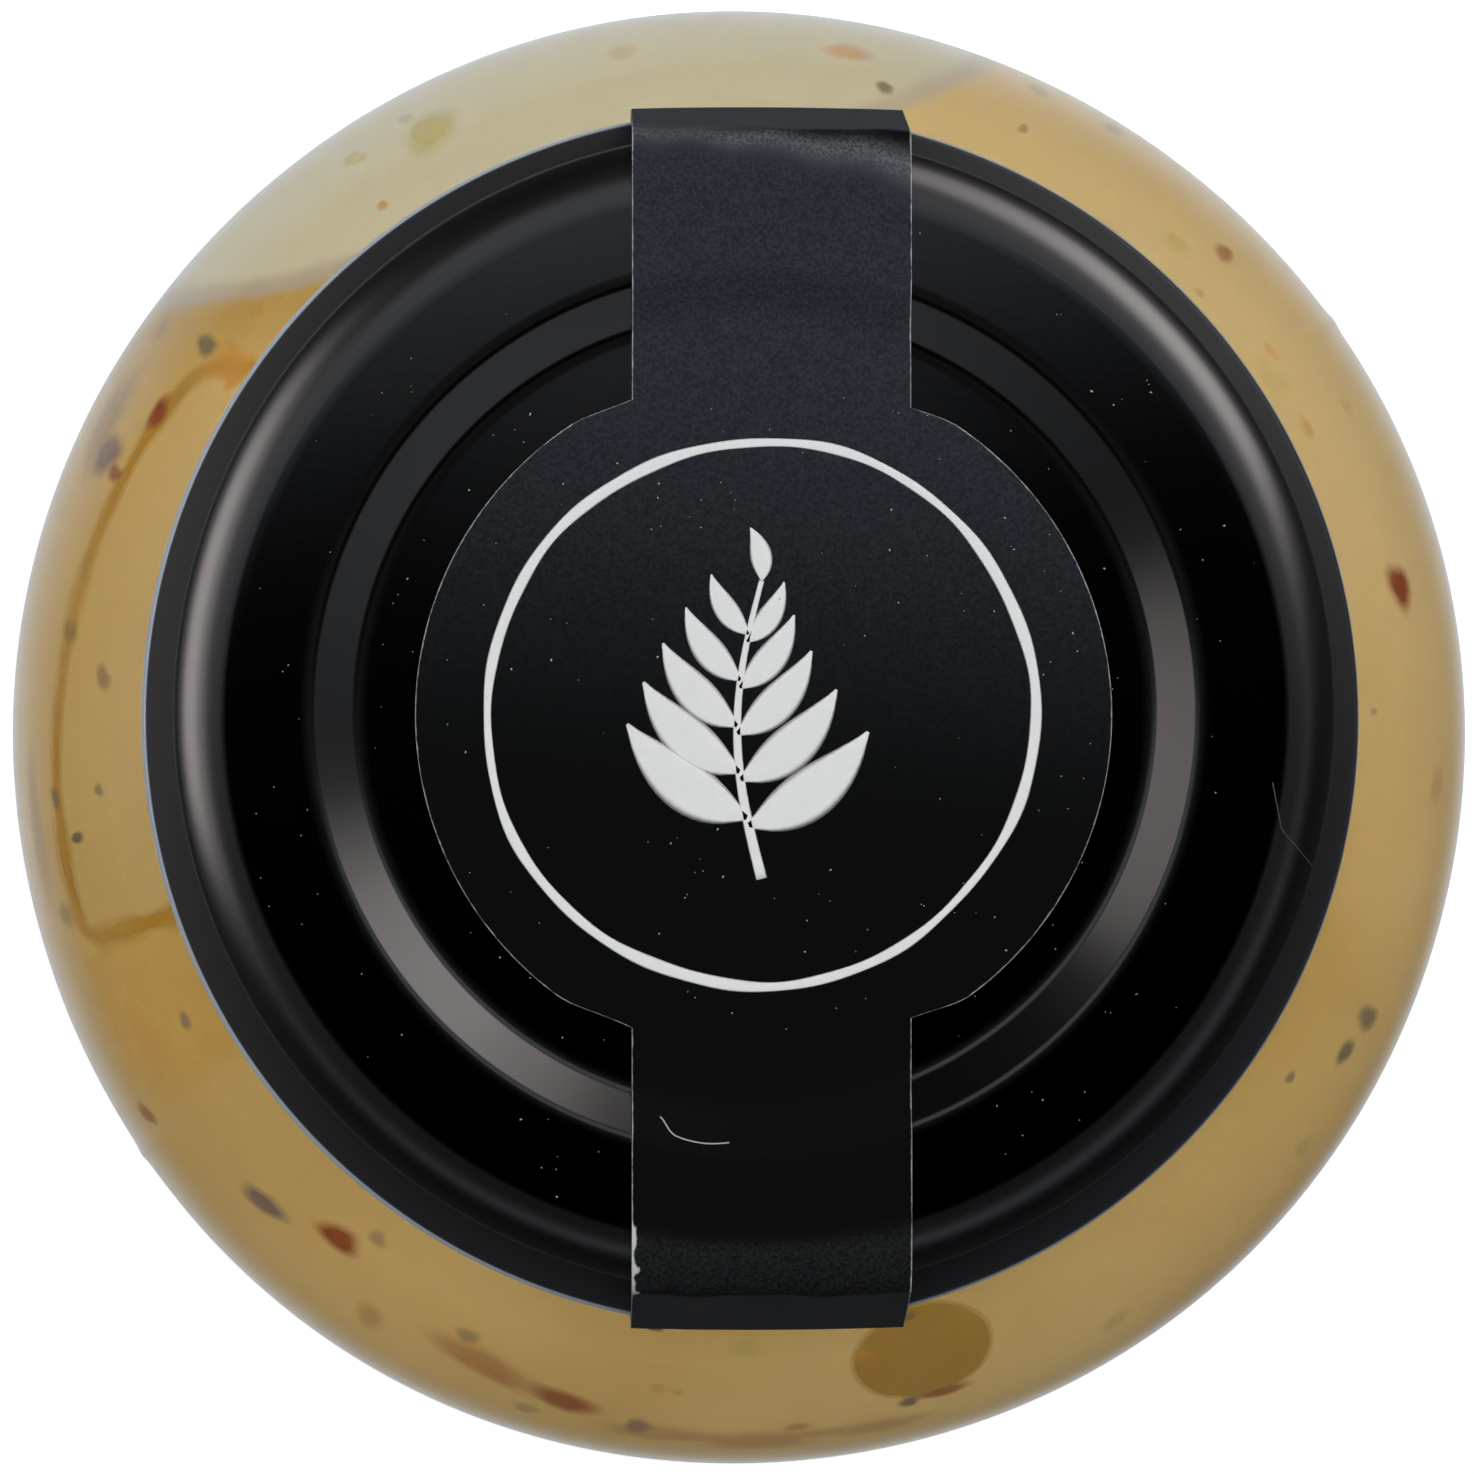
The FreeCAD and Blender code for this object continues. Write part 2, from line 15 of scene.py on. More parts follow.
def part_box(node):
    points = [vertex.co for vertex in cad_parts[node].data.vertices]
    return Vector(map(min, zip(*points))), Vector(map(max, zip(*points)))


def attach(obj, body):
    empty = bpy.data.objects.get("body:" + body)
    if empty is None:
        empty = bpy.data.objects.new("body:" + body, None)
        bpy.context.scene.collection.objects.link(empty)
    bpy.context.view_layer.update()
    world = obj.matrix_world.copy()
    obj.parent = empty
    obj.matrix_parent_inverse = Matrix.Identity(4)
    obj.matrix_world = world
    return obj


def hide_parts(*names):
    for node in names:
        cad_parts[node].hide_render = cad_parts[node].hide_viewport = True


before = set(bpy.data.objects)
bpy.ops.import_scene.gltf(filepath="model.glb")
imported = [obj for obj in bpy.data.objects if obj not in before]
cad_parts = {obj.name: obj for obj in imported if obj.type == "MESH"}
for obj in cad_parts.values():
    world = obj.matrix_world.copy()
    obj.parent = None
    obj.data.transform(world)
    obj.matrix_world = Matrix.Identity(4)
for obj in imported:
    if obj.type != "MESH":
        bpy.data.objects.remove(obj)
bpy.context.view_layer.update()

MM = 0.001
TAU = 2 * math.pi

# ---- Sizes, in metres. The frame gives the places, and these the forms between them.

GLASS_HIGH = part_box("glass_bottle")[1]
CAP_LOW, CAP_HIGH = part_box("cap")
FILL_LOW, FILL_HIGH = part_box("dressing")

BODY_R = GLASS_HIGH.x
RIM_Z = GLASS_HIGH.z
FILL_R = FILL_HIGH.x
FILL_FLOOR = FILL_LOW.z
FILL_LEVEL = FILL_HIGH.z
CAP_R = CAP_HIGH.x
CAP_TOP = CAP_HIGH.z
CAP_BOTTOM = CAP_LOW.z

WALL = BODY_R - FILL_R
FINISH_R = 19.8 * MM
BORE_R = 17.2 * MM
RIM_ROUND = 0.9 * MM
NECK_R = 20.2 * MM
BEAD_R = 21.3 * MM
BEAD_ROUND = 1.2 * MM
BEAD_TOP = CAP_BOTTOM - 0.5 * MM
BEAD_LOW = BEAD_TOP - 3.8 * MM
THROAT_Z = BEAD_LOW - 4.2 * MM
SHOULDER_ROUND = 15.0 * MM
THROAT_ROUND = 8.0 * MM
HEEL = 4.5 * MM
FLOOR_ROUND = 7.0 * MM
PUSHUP = 2.0 * MM
FOOT_IN = BODY_R - HEEL - 3.0 * MM
THREAD_LOW = CAP_BOTTOM + 1.75 * MM
THREAD_RISE = 1.6 * MM
THREAD_WIDTH = 1.9 * MM
THREAD_DEPTH = 1.3 * MM
THREAD_TURN = math.radians(70)
SEAM = math.radians(35)
STARTS = 4

# How far the dressing reaches into the wall, so that no air shows between them.
REACH = 0.12 * MM

# The cap's sheet: its thickness, sunken panel, bevelled ring, corner, skirt, curl and lugs.
SHEET = 0.25 * MM
PANEL_Z = CAP_TOP - 0.7 * MM
RING_IN, RING_OUT = 14.75 * MM, 16.3 * MM
SKIRT_R = 21.45 * MM
CORNER, CORNER_END = 2.6 * MM, 0.5 * MM
CORNER_TURN = 45
CORNER_R = SKIRT_R - CORNER_END - (CORNER - CORNER_END) * math.sin(math.radians(CORNER_TURN))
CORNER_Z = CAP_TOP - CORNER
SKIRT_Z = CORNER_Z + (CORNER - CORNER_END) * math.cos(math.radians(CORNER_TURN))
CURL = 0.85 * MM
LUG_TIP = 20.25 * MM
LUG_TURN = math.radians(30)

# The seal: the paper's thickness, the disc's centre and radius, the strap's middle and width.
PAPER = 0.12 * MM
DISC_X, DISC_Y = 0.33 * MM, -0.15 * MM
DISC_R = 12.85 * MM
STRAP_X = 0.62 * MM
STRAP_W = 10.3 * MM

# ---- Nodes


def rgb(code):
    """An sRGB hex colour as linear red, green, blue, alpha."""
    parts = np.array([int(code[i : i + 2], 16) for i in (1, 3, 5)]) / 255
    linear = np.where(parts <= 0.04045, parts / 12.92, ((parts + 0.055) / 1.055) ** 2.4)
    return (*linear.tolist(), 1.0)


def new_material(name, **settings):
    """A material with a Principled surface, as (material, its node tree, the surface's node)."""
    material = bpy.data.materials.new(name)
    material.use_nodes = True
    tree = material.node_tree
    surface = tree.nodes["Principled BSDF"]
    for key, value in settings.items():
        surface.inputs[key.replace("_", " ")].default_value = value
    return material, tree, surface


def add(tree, kind, sets=None, links=None, **attributes):
    """Adds one node: its attributes, its sockets' values and the sockets that feed it."""
    node = tree.nodes.new(kind)
    for key, value in attributes.items():
        setattr(node, key, value)
    for key, value in (sets or {}).items():
        node.inputs[key].default_value = value
    for key, source in (links or {}).items():
        tree.links.new(source, node.inputs[key])
    return node


def between(tree, value, low, high, shown):
    """shown times a smooth step of the value from low to high."""
    return add(
        tree, "ShaderNodeMapRange", {"From Min": low, "From Max": high, "To Max": shown},
        {"Value": value}, interpolation_type="SMOOTHSTEP",
    ).outputs["Result"]


# Socket numbers of a Mix node: for colours, and for plain values.
MIX_A, MIX_B, MIX_RESULT = 6, 7, 2
VALUE_A, VALUE_B, VALUE_RESULT = 2, 3, 0


def layered(tree, colour, *layers):
    """A colour with others laid over it. Each layer is a share and a hex colour."""
    for share, tint in layers:
        over = add(tree, "ShaderNodeMix", {MIX_B: rgb(tint)}, {"Factor": share}, data_type="RGBA")
        if isinstance(colour, str):
            over.inputs[MIX_A].default_value = rgb(colour)
        else:
            tree.links.new(colour, over.inputs[MIX_A])
        colour = over.outputs[MIX_RESULT]
    return colour


# ---- Surfaces


def arc(radius, height, bend, start, end, count):
    """Points of a profile on a circle round (radius, height): centre plus bend times the cosine and
    sine of an angle that goes evenly from start to end, in degrees."""
    turn = np.radians(np.linspace(start, end, count))
    return np.column_stack((radius + bend * np.cos(turn), height + bend * np.sin(turn)))


def run(start, end, count):
    """Points of a profile evenly along the line from start to end."""
    return np.linspace(start, end, count)


def chain(*stretches):
    """One profile from several stretches, without the points that repeat."""
    points = np.vstack(stretches)
    steps = np.hypot(*np.diff(points, axis=0).T)
    return points[np.r_[True, steps > 0.001 * MM]]


def grid_faces(rows, columns, round_about=False, end_to_end=False):
    """Quads between neighbouring rows and columns. round_about joins the last column to the first,
    and end_to_end the last row to the first."""
    grid = np.arange(rows * columns).reshape(rows, columns)
    grid = np.pad(grid, ((0, int(end_to_end)), (0, int(round_about))), mode="wrap")
    corners = (grid[:-1, :-1], grid[:-1, 1:], grid[1:, 1:], grid[1:, :-1])
    return np.stack(corners, axis=-1).reshape(-1, 4)


def sheet(upper, under):
    """A closed thin body between two grids of points, upper with its outside facing along rows
    crossed with columns: its points, upper rows first and then the under ones backwards, and faces."""
    rows, columns = upper.shape[:2]
    points = np.concatenate((upper, under[:, ::-1]), axis=1).reshape(-1, 3)
    ends = np.arange(columns)
    low_end = np.stack((ends[:-1], ends[1:], 2 * columns - 2 - ends[:-1], 2 * columns - 1 - ends[:-1]), -1)
    high_end = low_end[:, ::-1] + (rows - 1) * 2 * columns
    return points, [grid_faces(rows, 2 * columns, True), low_end[:, ::-1], high_end[:, ::-1]]


def piece(name, points, faces, material, slot, replaces=(), **fields):
    """A smooth mesh from whole arrays. Each field becomes an attribute with one value a point."""
    mesh = bpy.data.meshes.new(name)
    corners = np.concatenate([face.ravel() for face in faces])
    sizes = np.concatenate([np.full(len(face), face.shape[1]) for face in faces])
    mesh.vertices.add(len(points))
    mesh.vertices.foreach_set("co", np.asarray(points, np.float32).ravel())
    mesh.loops.add(len(corners))
    mesh.loops.foreach_set("vertex_index", corners.astype(np.int32))
    mesh.polygons.add(len(sizes))
    mesh.polygons.foreach_set("loop_start", (np.cumsum(sizes) - sizes).astype(np.int32))
    mesh.polygons.foreach_set("use_smooth", np.ones(len(sizes), bool))
    mesh.update(calc_edges=True)
    mesh.validate()
    for field, values in fields.items():
        layer = mesh.attributes.new(field, "FLOAT", "POINT")
        layer.data.foreach_set("value", np.asarray(values, np.float32).ravel())
    mesh.materials.append(material)
    made = bpy.data.objects.new(name, mesh)
    bpy.context.scene.collection.objects.link(made)
    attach(made, "root")
    if replaces:
        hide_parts(*replaces)
    return made


def spin(profile, turns, relief=None):
    """A closed surface of revolution: point (i, j) has the profile's radius and height at i and the
    angle at j. The profile's ends lie on the axis and become one point each. relief takes the
    arrays (radius, height, turn) and gives the new radius and height."""
    radius = np.repeat(profile[1:-1, :1], len(turns), axis=1)
    height = np.repeat(profile[1:-1, 1:], len(turns), axis=1)
    turn = np.broadcast_to(turns, radius.shape)
    if relief:
        radius, height = relief(radius, height, turn)
    rings = np.stack((radius * np.cos(turn), radius * np.sin(turn), height), axis=-1)
    poles = [(0, 0, profile[0, 1]), (0, 0, profile[-1, 1])]
    points = np.vstack((rings.reshape(-1, 3), poles))
    rows, columns = radius.shape
    first_ring = np.arange(columns)
    last_ring = first_ring + (rows - 1) * columns
    low = np.full(columns, rows * columns)
    fans = (
        np.stack((low, np.roll(first_ring, -1), first_ring), axis=-1),
        np.stack((low + 1, last_ring, np.roll(last_ring, -1)), axis=-1),
    )
    return points, [grid_faces(rows, columns, True), *fans]


def smooth(value, low, high):
    """0 up to low, 1 from high on, and three times the square less twice the cube between."""
    share = np.clip((value - low) / (high - low), 0, 1)
    return share * share * (3 - 2 * share)


def side_profile(wide, narrow, wide_bend, narrow_bend, low, counts):
    """The bottle's side, upwards: upright at the wide radius, over the shoulder's arc and back
    through the throat's to the narrow radius. The arcs meet where both have turned by the angle
    whose cosine is one less the step in radius over the two bends' sum."""
    reach = wide_bend + narrow_bend
    turn = math.degrees(math.acos(1 - (wide - narrow) / reach))
    shoulder_z = THROAT_Z - reach * math.sin(math.radians(turn))
    return chain(
        run((wide, low), (wide, shoulder_z), counts[0]),
        arc(wide - wide_bend, shoulder_z, wide_bend, 0, turn, counts[1]),
        arc(narrow + narrow_bend, THROAT_Z, narrow_bend, 180 + turn, 180, counts[2]),
    )


# ---- Glass


def flint_glass():
    """Flint glass, pressed and blown: clear and fire polished, with the faint waves of the mould."""
    material, tree, surface = new_material(
        "flint_glass", Base_Color=rgb("#fbfdfc"), Transmission_Weight=1.0, Roughness=0.0, IOR=1.52
    )
    where = add(tree, "ShaderNodeTexCoord").outputs["Object"]
    waves = add(tree, "ShaderNodeTexNoise", {"Scale": 1 / (8 * MM), "Detail": 1.0}, {"Vector": where})
    bump = add(
        tree, "ShaderNodeBump", {"Strength": 0.35, "Distance": 0.1 * MM},
        {"Height": waves.outputs["Fac"]},
    )
    tree.links.new(bump.outputs["Normal"], surface.inputs["Normal"])
    return material


def glass_profile():
    """The whole wall: under the base, up the outside, over the rim and down the inside."""
    dome = np.linspace(0, FOOT_IN, 16)
    base = np.column_stack((dome, PUSHUP * (1 - (dome / FOOT_IN) ** 2)))
    outside = side_profile(BODY_R, NECK_R, SHOULDER_ROUND, THROAT_ROUND, HEEL, (26, 44, 24))
    inside = side_profile(
        FILL_R, BORE_R, SHOULDER_ROUND - WALL, THROAT_ROUND + WALL, FILL_FLOOR + FLOOR_ROUND,
        (20, 34, 20),
    )
    fillet = 0.4 * MM
    return chain(
        base,
        run((FOOT_IN + 0.3 * MM, 0), (BODY_R - HEEL, 0), 9),
        arc(BODY_R - HEEL, HEEL, HEEL, -90, 0, 16),
        outside,
        arc(NECK_R + fillet, BEAD_LOW - fillet, fillet, 180, 90, 5),
        arc(BEAD_R - BEAD_ROUND, BEAD_LOW + BEAD_ROUND, BEAD_ROUND, -70, 0, 8),
        arc(BEAD_R - BEAD_ROUND, BEAD_TOP - BEAD_ROUND, BEAD_ROUND, 0, 90, 10),
        arc(FINISH_R + fillet, BEAD_TOP + fillet, fillet, -90, -180, 5),
        run((FINISH_R, THREAD_LOW - 0.6 * MM), (FINISH_R, THREAD_LOW + 4.4 * MM), 30),
        arc(FINISH_R - RIM_ROUND, RIM_Z - RIM_ROUND, RIM_ROUND, 0, 90, 7),
        arc(BORE_R + RIM_ROUND, RIM_Z - RIM_ROUND, RIM_ROUND, 90, 180, 7),
        run((BORE_R, RIM_Z - 3 * MM), (BORE_R, THROAT_Z + MM), 6),
        inside[::-1],
        arc(FILL_R - FLOOR_ROUND, FILL_FLOOR + FLOOR_ROUND, FLOOR_ROUND, 0, -90, 10),
        run((FILL_R - FLOOR_ROUND, FILL_FLOOR), (0, FILL_FLOOR), 10),
    )


def glass_relief(radius, height, turn):
    """What isn't round about the wall: the thread's starts, each rising evenly over its turn and
    fading at its ends; the blown body's slight waves; the mould's two seams; and the bearing
    ring's stippling, a cosine of the angle that lifts it off the ground in fine steps."""
    over_rim = np.argmax(height[:, 0])
    is_outside = (np.arange(len(radius)) < over_rim)[:, None]

    along = np.mod(turn, TAU / STARTS)
    middle = THREAD_LOW + THREAD_WIDTH / 2 + THREAD_RISE * along / THREAD_TURN
    slope = THREAD_WIDTH / 4
    ridge = np.clip((THREAD_WIDTH / 2 - np.abs(height - middle)) / slope, 0, 1)
    end = math.radians(9)
    ridge = ridge * smooth(along, 0, end) * smooth(THREAD_TURN - along, 0, end)
    on_finish = np.abs(radius - FINISH_R) < 0.01 * MM
    radius = radius + THREAD_DEPTH * smooth(ridge, 0, 1) * on_finish * is_outside

    body = smooth(radius, NECK_R, BODY_R) * is_outside
    waves = 0.05 * np.cos(3 * turn + 60 * height) + 0.04 * np.cos(5 * turn - 90 * height + 1)
    seam = np.exp(-((np.sin(turn - SEAM) * BODY_R / (0.35 * MM)) ** 2))
    radius = radius + (waves + 0.07 * seam) * MM * body

    on_foot = (height < 0.02 * MM) & (radius > FOOT_IN) & is_outside
    steps = 0.5 - 0.5 * np.cos(96 * turn)
    height = height + 0.22 * MM * steps * on_foot
    return radius, height


def bottle_turns():
    """Angles round the glass, with extra ones close to the two seams."""
    even = np.linspace(0, TAU, 288, endpoint=False)
    near = np.array([-0.6, -0.35, -0.15, 0, 0.15, 0.35, 0.6]) * MM / BODY_R
    seams = [SEAM + side + near for side in (0, math.pi)]
    return np.unique(np.round(np.concatenate((even, *seams)), 6))


def glass_bottle():
    """The bottle: its wall's profile, spun, with the relief that isn't round about."""
    points, faces = spin(glass_profile(), bottle_turns(), glass_relief)
    glass = piece("bottle_glass", points, faces, flint_glass(), "clear_glass", ["glass_bottle"])
    glass.visible_shadow = False


# ---- Dressing

# The way that the edge of the painted reflection faces, how it leans inwards with height, and where it
# lies.
REFLECTION_FACING = math.radians(106.2)
REFLECTION_TILT = 0.09
REFLECTION_EDGE = 22.1 * MM + REFLECTION_TILT * 102 * MM


def emulsion_colour(tree):
    """The dressing's colour: cloudy, paler towards one side, partly its own tone and partly painted
    light falling from there, and browner towards another; pale beyond a straight edge, a painted
    reflection of a broad light on the shoulder with a greyish line painted along its edge; and golden
    just before that edge, where oil has gathered."""
    where = add(tree, "ShaderNodeTexCoord").outputs["Object"]
    place = add(tree, "ShaderNodeSeparateXYZ", links={"Vector": where}).outputs
    clouds = add(
        tree, "ShaderNodeTexNoise", {"Scale": 1 / (16 * MM), "Detail": 3.0, "Roughness": 0.5},
        {"Vector": where},
    ).outputs["Fac"]
    cloudy = add(
        tree, "ShaderNodeMapRange", {"From Min": 0.35, "From Max": 0.65}, {"Value": clouds}
    ).outputs["Result"]
    facing = (math.cos(REFLECTION_FACING), math.sin(REFLECTION_FACING), REFLECTION_TILT)
    aside, across = (
        add(tree, "ShaderNodeVectorMath", {1: way}, {0: where}, operation="DOT_PRODUCT").outputs["Value"]
        for way in ((0.6, 0.8, 0), facing)
    )
    ragged = add(
        tree, "ShaderNodeMath", {1: 0.8 * MM, 2: -0.4 * MM}, {0: clouds}, operation="MULTIPLY_ADD"
    ).outputs["Value"]
    across = add(tree, "ShaderNodeMath", links={0: across, 1: ragged}, operation="ADD").outputs[0]
    fading = add(
        tree, "ShaderNodeMapRange", {"From Min": 70 * MM, "From Max": 96 * MM}, {"Value": place["Z"]}
    ).outputs["Result"]
    oily = between(tree, across, REFLECTION_EDGE - 3.5 * MM, REFLECTION_EDGE, 0.8)
    left = between(tree, place["X"], 6 * MM, -10 * MM, 1.0)
    oily = add(tree, "ShaderNodeMath", links={0: oily, 1: left}, operation="MULTIPLY").outputs[0]
    # Painted reflection: a greyish line painted along its edge, and the pale reflection beyond it.
    rim = between(tree, across, REFLECTION_EDGE - 0.4 * MM, REFLECTION_EDGE, 0.7)
    film = between(tree, across, REFLECTION_EDGE + 0.1 * MM, REFLECTION_EDGE + 0.6 * MM, 1.0)
    oily, rim, film = (
        add(tree, "ShaderNodeMath", links={0: share, 1: fading}, operation="MULTIPLY").outputs[0]
        for share in (oily, rim, film)
    )
    return layered(
        tree, "#9b7e45",
        (cloudy, "#a68c56"),
        # Paler towards this side: partly the dressing's own tone, partly painted light falling from there.
        (between(tree, aside, 6 * MM, 24 * MM, 1.0), "#a08a5c"),
        (between(tree, place["X"], -12 * MM, -25 * MM, 0.7), "#8f7642"),
        (oily, "#896b2c"),
        (rim, "#8a8378"),
        (film, "#9b9379"),
    )


def emulsion():
    """An oil and mustard emulsion: cloudy and soft, so light spreads a little way under its skin."""
    material, tree, surface = new_material(
        "oil_mustard_emulsion", Roughness=0.42, IOR=1.4, Specular_IOR_Level=0.15,
        Subsurface_Weight=1.0, Subsurface_Radius=(1.0, 0.75, 0.4), Subsurface_Scale=4.0 * MM,
    )
    tree.links.new(emulsion_colour(tree), surface.inputs["Base Color"])
    return material


# The dressing's skin: the shoulder's bend, the widest radius, the turn and the start of its arc.
FILL_BEND = SHOULDER_ROUND - WALL + REACH
FILL_WIDE = FILL_R + REACH
FILL_TURN = math.acos(1 - (FILL_R - BORE_R) / (SHOULDER_ROUND + THROAT_ROUND))
FILL_SHOULDER_Z = THROAT_Z - (SHOULDER_ROUND + THROAT_ROUND) * math.sin(FILL_TURN)


def dressing():
    """The contents, out to just inside the wall. At the top the level climbs the glass: its height is
    the level plus a rise that falls by e with each millimetre from the wall."""
    side = side_profile(
        FILL_WIDE, BORE_R + REACH, FILL_BEND, THROAT_ROUND + WALL - REACH, FILL_FLOOR + FLOOR_ROUND,
        (60, 60, 24),
    )
    inwards = np.linspace(BORE_R + REACH, 0, 24)
    skin = FILL_LEVEL + 0.7 * MM * np.exp((inwards - BORE_R) / MM)
    profile = chain(
        run((0, FILL_FLOOR - REACH), (FILL_R - FLOOR_ROUND, FILL_FLOOR - REACH), 8),
        arc(FILL_R - FLOOR_ROUND, FILL_FLOOR + FLOOR_ROUND, FLOOR_ROUND + REACH, -90, 0, 14),
        side,
        run((BORE_R + REACH, THROAT_Z + 0.1 * MM), (BORE_R + REACH, skin[0]), 3),
        np.column_stack((inwards, skin)),
    )
    points, faces = spin(profile, np.linspace(0, TAU, 240, endpoint=False))
    piece("dressing_emulsion", points, faces, emulsion(), "dressing", ["dressing"])


def on_wall(turn, rise, lift):
    """A point on the dressing's skin by its angle round the axis and its way up the wall from the
    start of the shoulder. Above that start the way is an arc, whose angle is the way over the bend;
    below it the way is plain height. lift is the distance out of the skin."""
    lean = np.clip(rise, 0, None) / FILL_BEND
    radius = FILL_WIDE - FILL_BEND + (FILL_BEND + lift) * np.cos(lean)
    height = FILL_SHOULDER_Z + (FILL_BEND + lift) * np.sin(lean) + np.clip(rise, None, 0)
    return np.stack((radius * np.cos(turn), radius * np.sin(turn), height), axis=-1)


# Half a bit's millimetre, and a fifth more for the soft edge that thins out.
BIT_HALF = 0.6 * MM
# How far a bit stands out of the skin in its middle, and how far its edge lies in it.
BIT_RISE, BIT_SUNK = 0.07 * MM, 0.01 * MM


def in_skin(made):
    """Lets the light that scatters in the dressing pass what lies in its skin."""
    made.visible_diffuse = False
    made.visible_shadow = False


def crumbs(name, material, places, seed, rings=(0.5, 0.8, 1.0), steps=14, ragged=0.16):
    """Flat-domed bits in the dressing's skin. A bit's point (distance, direction) lies at
    distance times the outline: one plus three sines of the direction, stretched to the bit's width
    and height and turned. It stands out by one less the fourth power of the distance.
    places holds a row for each bit: angle and lean in degrees, width and height in millimetres,
    twist in degrees, and how clearly it shows."""
    draw = np.random.default_rng(seed)
    turn, lean, wide, tall, twist, clear = np.array(places, float).T[..., None, None]
    count = len(turn)
    distance = np.array((0.0, *rings))[None, :, None]
    direction = np.linspace(0, TAU, steps, endpoint=False)[None, None, :]
    outline = np.ones((count, 1, steps))
    for wave in (2, 3, 5):
        size = draw.uniform(0.3, 1.0, (count, 1, 1)) * ragged * 2 / wave
        outline = outline + size * np.sin(wave * direction + draw.uniform(0, TAU, (count, 1, 1)))
    across = distance * outline * wide * BIT_HALF * np.cos(direction)
    upwards = distance * outline * tall * BIT_HALF * np.sin(direction)
    cosine, sine = np.cos(np.radians(twist)), np.sin(np.radians(twist))
    sideways = across * cosine - upwards * sine
    rise = across * sine + upwards * cosine
    way = np.where(lean >= 0, np.radians(lean) * FILL_BEND, lean * MM)
    lift = BIT_RISE * (1 - distance**4) - BIT_SUNK + 0 * rise
    radius = FILL_WIDE - FILL_BEND + FILL_BEND * np.cos(np.clip(way, 0, None) / FILL_BEND)
    points = on_wall(np.radians(turn) + sideways / radius, way + rise, lift)
    centre = points[:, 0, 0]
    rim = points[:, 1:].reshape(count, -1, 3)
    size = 1 + len(rings) * steps
    points = np.concatenate((centre[:, None], rim), axis=1).reshape(-1, 3)
    start = (np.arange(count) * size)[:, None, None]
    quads = grid_faces(len(rings), steps, True)[:, ::-1] + 1
    around = np.arange(steps)
    fan = np.stack((np.zeros(steps, int), around + 1, np.roll(around, -1) + 1), axis=-1)
    base = (len(rings) - 1) * steps + 1 + around[None, ::-1]
    faces = [(start + part[None]).reshape(-1, part.shape[1]) for part in (quads, fan, base)]
    depth = np.concatenate(([0.0], np.repeat(rings, steps)))
    core = np.broadcast_to(1 - depth, (count, size))
    shown = np.broadcast_to(clear[:, :, 0], (count, size))
    in_skin(piece(name, points, faces, material, "dressing", core=core, clear=shown))


def bit_material(name, dark, light, grain, soft=0.7):
    """A bit of food under a thin veil of dressing: two tones in patches, which thin out to nothing
    towards the bit's edge."""
    material, tree, surface = new_material(name, Roughness=0.6, Specular_IOR_Level=0.03)
    where = add(tree, "ShaderNodeTexCoord").outputs["Object"]
    patches = add(tree, "ShaderNodeTexNoise", {"Scale": 1 / grain, "Detail": 2.0}, {"Vector": where})
    core, clear = (
        add(tree, "ShaderNodeAttribute", attribute_name=field).outputs["Fac"]
        for field in ("core", "clear")
    )
    inside = between(tree, core, 0.0, soft, 1.0)
    share = add(tree, "ShaderNodeMath", links={0: inside, 1: clear}, operation="MULTIPLY").outputs[0]
    tree.links.new(share, surface.inputs["Alpha"])
    tone = layered(tree, dark, (patches.outputs["Fac"], light))
    tree.links.new(tone, surface.inputs["Base Color"])
    return material


def scattered(count, seed, small, large, long=1.6):
    """Rows of places for bits spread over the side, more of them small than large."""
    draw = np.random.default_rng(seed)
    turn = draw.uniform(0, 360, count)
    height = draw.uniform(-86, -1.5, count)
    wide = small + (large - small) * draw.random(count) ** 2.5
    tall = wide * draw.uniform(1, long, count)
    return np.column_stack(
        (turn, height, wide, tall, draw.uniform(0, 180, count), draw.uniform(0.25, 1.0, count))
    )


